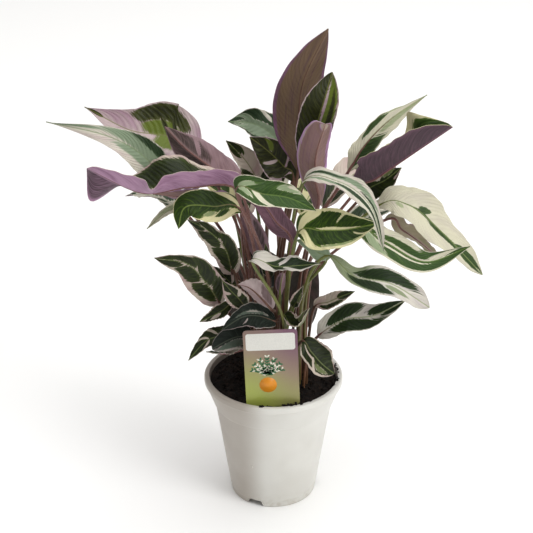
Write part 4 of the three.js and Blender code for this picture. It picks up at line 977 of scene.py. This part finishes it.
def makePot(p, g):
    foot, band = p["baseRadius"] - p["footRing"], p["bandHeight"] + p["bandInset"]
    lipFoot = p["height"] - p["lipHeight"]
    bm = bmesh.new()
    spinProfile(bm, softened([
        (0, 0), (p["channelInside"], 0), (p["channelInside"] + p["channelSlant"], p["channelHeight"]),
        (foot, p["channelHeight"]), (foot, 0), (p["baseRadius"] - p["footChamfer"], 0),
        (p["baseRadius"], p["footChamfer"]),
        (taperAt(p["bandHeight"], p) - p["bandInset"], p["bandHeight"]),
        (taperAt(band, p), band), (p["ringRadius"], p["ringHeight"]),
        (p["ringRadius"] + p["ringStep"], p["ringHeight"] + p["ringRise"]),
        (p["bodyRadius"], p["collarBottom"] - p["collarStep"]), (p["collarRadius"], p["collarBottom"]),
        (p["lipRadius"], lipFoot), (p["rimRadius"], lipFoot + p["lipUnder"]),
        (p["rimRadius"], p["height"] - p["lipRound"]), (p["rimRadius"] - p["lipRound"], p["height"]),
        (p["rimInside"], p["height"]), *reversed(innerWall(p)), *reversed(innerFloor(p)),
    ], p["soft"], p["softShare"], p["roundSteps"]), p["sides"])
    whole, cutter = addObject("potSolid", toMesh("potSolid", bm)), makeNotches(p, notchBuild)
    cut = whole.modifiers.new("notches", "BOOLEAN")
    cut.object, cut.operation, cut.solver = cutter, "DIFFERENCE", "EXACT"
    bpy.context.view_layer.update()
    bm = bmesh.new()
    bm.from_mesh(whole.evaluated_get(bpy.context.evaluated_depsgraph_get()).to_mesh())
    bpy.data.objects.remove(whole)
    bpy.data.objects.remove(cutter)
    # the moulding gate, a low pip on the wall
    out = Matrix.Translation(((taperAt(g["height"], p) + g["rise"] / 2) * mm, 0, g["height"] * mm))
    turn = Matrix.Rotation(math.radians(g["turn"]), 4, "Z")
    bmesh.ops.create_cone(
        bm, cap_ends=True, segments=20, radius1=g["radius"] * mm, radius2=g["tip"] * g["radius"] * mm,
        depth=2 * g["rise"] * mm, matrix=turn @ out @ Matrix.Rotation(math.pi / 2, 4, "Y"),
    )
    sharpenRims(bm, 50)
    finishPiece("fine_pot", bm, [makePotMaterial(potSkin)], "pot")


makePot(potBuild, gateBuild)
print("pot made")


# soil

soilBuild = dict(
    sides=96, rings=30, gap=0.35, edgeDrop=1.2, edgeReach=6, sink=0.6,
    dark=(15, 11, 9), brown=(38, 28, 22), straw=(78, 58, 40),
)
# rim: how many, between which degrees and which radii
crumbBuild = dict(
    count=620, size=(0.7, 2.6), rimSize=(0.6, 1.9), rough=0.22, spread=0.98, lift=0.2, rimLift=0.3,
    rim=((26, (-82, -69), (61.5, 66)), (9, (-66, -55), (62, 67)), (4, (-103, -98), (64, 67.5)),
         (34, (-34, 20), (61, 66.5))),
)
fibreBuild = dict(
    count=110, length=(5, 13), radius=0.28, bend=0.25, middle=0.125, lean=(76, 92), spread=0.92, lift=0.9,
)


def makeSoilMaterial(name, first, second, scale):
    material, tree, shader = startMaterial(name, 0.92, 0.25)
    place = objectPlace(tree)
    clumps = grain(place, scale, 6, 0.7)
    specks = addNode(tree, "TexVoronoi", {"Vector": place, "Scale": 3.2 * scale}).outputs["Distance"]
    paint = wash(colour(*first), colour(*second), fade(clumps, 0.42, 0.68))
    paint = wash(paint, colour(*soilBuild["straw"]), flip(fade(specks, 0.05, 0.3)), 0.35)
    dress(shader, paint, plus(clumps, times(specks, 0.5)), 0.0012, 1)
    return material


def soilHeight(x, y, draw):
    # the lumpy top of the soil at a place, in millimetres
    broad = 1.1 * math.sin(0.31 * x + 1) * math.cos(0.37 * y) + 0.6 * math.sin(0.23 * y - 0.19 * x)
    fine = 0.8 * math.sin(0.83 * x - 0.61 * y + 2) + draw.uniform(-0.4, 0.4)
    return soilTop - soilBuild["sink"] + broad + fine


def makeSoil(p, c, f):
    draw = random.Random(7)
    radii, heights = zip(*innerWall(potBuild))
    edge = float(np.interp(soilTop, heights, radii)) - p["gap"]
    bm = bmesh.new()
    profile = [(max(0, r - p["gap"]), z + p["gap"]) for r, z in innerFloor(potBuild)]
    profile += [(r - p["gap"], z + p["gap"]) for r, z in innerWall(potBuild)[:-1]]
    profile += [(edge * i / p["rings"], soilTop) for i in range(p["rings"], -1, -1)]
    spinProfile(bm, profile, p["sides"])
    for vert in bm.verts:
        x, y, z = vert.co / mm
        if z > soilTop - 1:
            calm = min(1, (edge + 1 - math.hypot(x, y)) / p["edgeReach"])
            rise = (soilHeight(x, y, draw) - soilTop) * calm - p["edgeDrop"] * (1 - calm)
            vert.co.z = (soilTop + rise) * mm
    finishPiece("fine_soil", bm, [makeSoilMaterial("peatDark", p["dark"], p["brown"], 120)], "soil")

    def anywhere(spread):
        angle, reach = draw.uniform(0, 2 * math.pi), edge * math.sqrt(draw.random()) * spread
        return reach * math.cos(angle), reach * math.sin(angle)

    crumbs = bmesh.new()
    places = []
    for _ in range(c["count"]):
        x, y = anywhere(c["spread"])
        size = draw.uniform(*c["size"]) * (0.5 + 0.5 * draw.random())
        places.append((x, y, soilHeight(x, y, draw) + c["lift"] * size, size))
    for count, turns, reaches in c["rim"]:
        for _ in range(count):
            angle, reach = math.radians(draw.uniform(*turns)), draw.uniform(*reaches)
            size = draw.uniform(*c["rimSize"])
            high = potBuild["height"] + c["rimLift"] * size
            places.append((reach * math.cos(angle), reach * math.sin(angle), high, size))
    for x, y, z, size in places:
        turn = Euler([draw.uniform(0, 6) for _ in range(3)]).to_matrix().to_4x4()
        stretch = Matrix.Diagonal([size * draw.uniform(0.5, 1) * mm for _ in range(3)] + [1])
        spot = Matrix.Translation(Vector((x, y, z)) * mm)
        made = bmesh.ops.create_icosphere(crumbs, subdivisions=1, radius=1, matrix=spot @ turn @ stretch)
        for vert in made["verts"]:
            vert.co += Vector([draw.uniform(-c["rough"], c["rough"]) * size * mm for _ in range(3)])
    brown = makeSoilMaterial("peatCrumb", p["dark"], p["brown"], 260)
    finishPiece("soil_crumbs", crumbs, [brown], smooth=False)

    straight = makeRod("straightFibre", 4, 0.4, 3)
    fibres = bmesh.new()
    for _ in range(f["count"]):
        x, y = anywhere(f["spread"])
        length, bend = draw.uniform(*f["length"]), draw.uniform(-f["bend"], f["bend"])
        fibres.from_mesh(straight)
        fibres.verts.ensure_lookup_table()
        verts = fibres.verts[-len(straight.vertices):]
        for vert in verts:
            vert.co.x = f["radius"] * vert.co.x + bend * length * (vert.co.z**2 - f["middle"])
            vert.co.y *= f["radius"]
            vert.co.z *= length
        lean, turn = math.radians(draw.uniform(*f["lean"])), draw.uniform(0, 2 * math.pi)
        lie = Euler((lean, 0, turn)).to_matrix().to_4x4()
        spot = Matrix.Translation(Vector((x, y, soilHeight(x, y, draw) + f["lift"])) * mm)
        bmesh.ops.transform(fibres, matrix=spot @ lie @ Matrix.Scale(mm, 4), verts=verts)
    finishPiece("soil_fibres", fibres, [makeSoilMaterial("peatFibre", p["brown"], p["straw"], 300)])


makeSoil(soilBuild, crumbBuild, fibreBuild)
print("soil made")


# plant label: card, blank panel and a plain print of leaf sprays

labelBuild = dict(
    width=52.5, height=85.5, thickness=0.8, corner=4, x=-0.3, y=-56, turn=2.4, stakeWidth=22, stakeDepth=18,
    stakeTip=8, stakeOverlap=3, stakeThickness=0.96, print=0.12, printSunk=0.04, panelWidth=47.5,
    panelHeight=18.5, panelTop=3.8, panelCorner=2.6, panelColour=(222, 221, 214), low=(150, 160, 62),
    middle=(136, 116, 92), high=(104, 58, 86), fleck=(230, 225, 210),
)
sprayBuild = dict(
    sprays=7, spread=62, length=21, leaflets=7, leafletLong=1.8, leafletWide=0.828, leafletOut=1.6,
    leafletTurn=0.8, whites=0.4, stemLong=0.7, stemWide=0.28, stemRise=0.8, firstLeaflet=1.2,
    outerShorter=0.25, bowStart=0.6, foot=(-4, 34), discDrop=9.5, discRadius=8.6,
    green=(40, 104, 64), white=(226, 226, 208), orange=(222, 142, 34),
)


def roundedCard(bm, width, low, high, corner, depth):
    # a flat card with round corners, its back on the plane; sizes in millimetres
    verts = bmesh.ops.create_grid(bm, x_segments=1, y_segments=1, size=0.5)["verts"]
    for vert in verts:
        vert.co.x, vert.co.y = vert.co.x * width * mm, (low + (vert.co.y + 0.5) * (high - low)) * mm
    if corner:
        verts = bmesh.ops.bevel(
            bm, geom=verts, offset=corner * mm, affect="VERTICES", segments=8, profile=0.5, material=-1,
        )["verts"]
    faces = {face for vert in verts for face in vert.link_faces}
    raised = bmesh.ops.extrude_face_region(bm, geom=list(faces), use_keep_orig=True)
    top = [g for g in raised["geom"] if isinstance(g, bmesh.types.BMVert)]
    bmesh.ops.translate(bm, verts=top, vec=(0, 0, depth * mm))
    bmesh.ops.recalc_face_normals(bm, faces=bm.faces)


def makeLabelMaterial(p):
    # green at the foot, through tan, to purple at the top right
    material, tree, shader = startMaterial("labelCard", 0.32, 0.5)
    place = objectPlace(tree)
    x, y, z = addNode(tree, "SeparateXYZ", {0: place}).outputs
    across = fade(x, (p["x"] - p["width"] / 2) * mm, (p["x"] + p["width"] / 2) * mm)
    up = fade(z, soilTop * mm, (soilTop + p["height"]) * mm)
    ramp = addNode(tree, "ValToRGB", {0: plus(times(up, 0.7), times(across, 0.3))})
    ramp.color_ramp.elements.new(0.55)
    for element, at, key in zip(ramp.color_ramp.elements, (0.08, 0.55, 0.95), ("low", "middle", "high")):
        element.position, element.color = at, colour(*p[key])
    fine = grain(place, 1500, 2)
    paint = wash(ramp.outputs["Color"], colour(*p["fleck"]), fine, 0.08)
    dress(shader, paint, grain(place, 90, 2), 0.0002, 0.5, plus(times(fine, 0.12), 0.26))
    return material


def makePrintMaterial(name, shade):
    material, tree, shader = startMaterial(name, 0.4, 0.4)
    fine = grain(objectPlace(tree), 1200, 2)
    paint = wash(colour(*shade), colour(*[0.95 * c for c in shade]), fade(fine, 0.35, 0.7))
    dress(shader, paint, gloss=plus(times(fine, 0.15), 0.32))
    return material


def makeLabel(p, s):
    # from the card's own plane, front towards +Z and foot at the origin, to its place in the soil
    stand = Matrix.Rotation(math.pi / 2, 4, "X") @ Matrix.Rotation(math.radians(p["turn"]), 4, "Z")
    place = Matrix.Translation(Vector((p["x"], p["y"], soilTop)) * mm) @ stand
    half, thin = -p["stakeDepth"] / 2, p["thickness"] * p["stakeThickness"]
    card, stake, point, panel = bmesh.new(), bmesh.new(), bmesh.new(), bmesh.new()
    roundedCard(card, p["width"], footRise, p["height"], p["corner"], p["thickness"])
    roundedCard(stake, p["stakeWidth"], half, footRise + p["stakeOverlap"], 0, thin)
    roundedCard(point, p["stakeWidth"], -p["stakeDepth"], half, 0, thin)
    for vert in point.verts:
        if vert.co.y < -0.9 * p["stakeDepth"] * mm:
            vert.co.x *= p["stakeTip"] / p["stakeWidth"]
    for extra in (stake, point):
        card.from_mesh(toMesh("stakePart", extra))
    bmesh.ops.transform(
        card, matrix=place @ Matrix.Translation((0, 0, -p["thickness"] / 2 * mm)), verts=card.verts,
    )
    sharpenRims(card)
    finishPiece("fine_label", card, [makeLabelMaterial(p)], "label")

    front = place @ Matrix.Translation((0, 0, (p["thickness"] / 2 - p["printSunk"]) * mm))
    top = p["height"] - p["panelTop"]
    roundedCard(panel, p["panelWidth"], top - p["panelHeight"], top, p["panelCorner"], p["print"])
    bmesh.ops.transform(panel, matrix=front, verts=panel.verts)
    sharpenRims(panel)
    finishPiece("label_panel", panel, [makePrintMaterial("printPanel", p["panelColour"])])

    draw = random.Random(31)
    prints = {key: bmesh.new() for key in ("green", "white", "orange")}

    def dab(key, x, y, long, wide, angle, rise=1.0):
        thick = p["print"] * rise * mm
        spot = Matrix.Translation((x * mm, y * mm, thick / 2)) @ Matrix.Rotation(angle, 4, "Z")
        bmesh.ops.create_cone(
            prints[key], cap_ends=True, segments=14, radius1=1, radius2=1, depth=thick,
            matrix=front @ spot @ Matrix.Diagonal((long * mm, wide * mm, 1, 1)),
        )

    footX, footY = s["foot"]
    for i in range(s["sprays"]):
        lean = math.radians(s["spread"] * (i / (s["sprays"] - 1) - 0.5) * 2)
        long = s["length"] * (1 - s["outerShorter"] * abs(lean))
        for k in range(s["leaflets"]):
            share = (k + s["firstLeaflet"]) / s["leaflets"]
            bow = lean * (s["bowStart"] + (1 - s["bowStart"]) * share)
            x, y = footX + long * share * math.sin(bow), footY + long * share * math.cos(bow)
            for side in (-1, 1):
                angle = math.pi / 2 - bow + side * s["leafletTurn"]
                key = "white" if draw.random() < s["whites"] else "green"
                dab(key, x + s["leafletOut"] * math.cos(angle), y + s["leafletOut"] * math.sin(angle),
                    s["leafletLong"], s["leafletWide"], angle)
            stem = long / s["leaflets"] * s["stemLong"]
            dab("green", x, y, stem, s["stemWide"], math.pi / 2 - bow, s["stemRise"])
    dab("orange", footX, footY - s["discDrop"], s["discRadius"], s["discRadius"], 0)
    for key, name in (("green", "sprays_green"), ("white", "sprays_white"), ("orange", "disc_orange")):
        finishPiece("label_" + name, prints[key], [makePrintMaterial("print_" + key, s[key])])


makeLabel(labelBuild, sprayBuild)
print("label made")


# floor, light and camera

# lamps: place, size, power and aim
stageBuild = dict(
    floorSize=6, floorColour=(250, 250, 249), skyStrength=0.36, skyColour=(1, 0.98, 0.96, 1),
    lamps=dict(
        top=((0.3, 0.5, 3.0), 4.8, 104, (0, 0.5, 0)),
        key=((1.7, -1.3, 1.6), 1.3, 28, (0, 0, 0.25)),
        fill=((-1.6, -1.4, 0.9), 1.6, 2, (0, 0, 0.3)),
    ),
)
cameraBuild = dict(aim=(-7, 0, 255), distance=1500, pitch=26.7, lens=103.6, sensor=36)


def makeStage(p):
    bm = bmesh.new()
    bmesh.ops.create_grid(bm, x_segments=1, y_segments=1, size=p["floorSize"])
    floor = addObject("floor", toMesh("floor", bm))
    material, tree, shader = startMaterial("paleFloor", 0.8, 0.2)
    shader.inputs["Base Color"].default_value = colour(*p["floorColour"])
    floor.data.materials.append(material)
    world = bpy.data.worlds.new("studio")
    world.use_nodes = True
    sky = world.node_tree.nodes["Background"].inputs
    sky["Color"].default_value, sky["Strength"].default_value = p["skyColour"], p["skyStrength"]
    bpy.context.scene.world = world
    for name, (place, size, power, aim) in p["lamps"].items():
        lamp = bpy.data.lights.new(name, "AREA")
        lamp.shape, lamp.size, lamp.energy = "DISK", size, power
        holder = addObject(name, lamp)
        holder.location = place
        holder.rotation_euler = (Vector(aim) - Vector(place)).to_track_quat("-Z", "Y").to_euler()


def makeCamera(p):
    camera = bpy.data.cameras.new("camera")
    camera.lens, camera.sensor_width = p["lens"], p["sensor"]
    holder = addObject("camera", camera)
    pitch = math.radians(p["pitch"])
    back = Vector((0, -math.cos(pitch), math.sin(pitch)))
    holder.location = (Vector(p["aim"]) + p["distance"] * back) * mm
    holder.rotation_euler = (math.pi / 2 - pitch, 0, 0)
    bpy.context.scene.camera = holder


makeStage(stageBuild)
makeCamera(cameraBuild)
bpy.context.scene.view_settings.view_transform = "Standard"
print("stage and camera made")
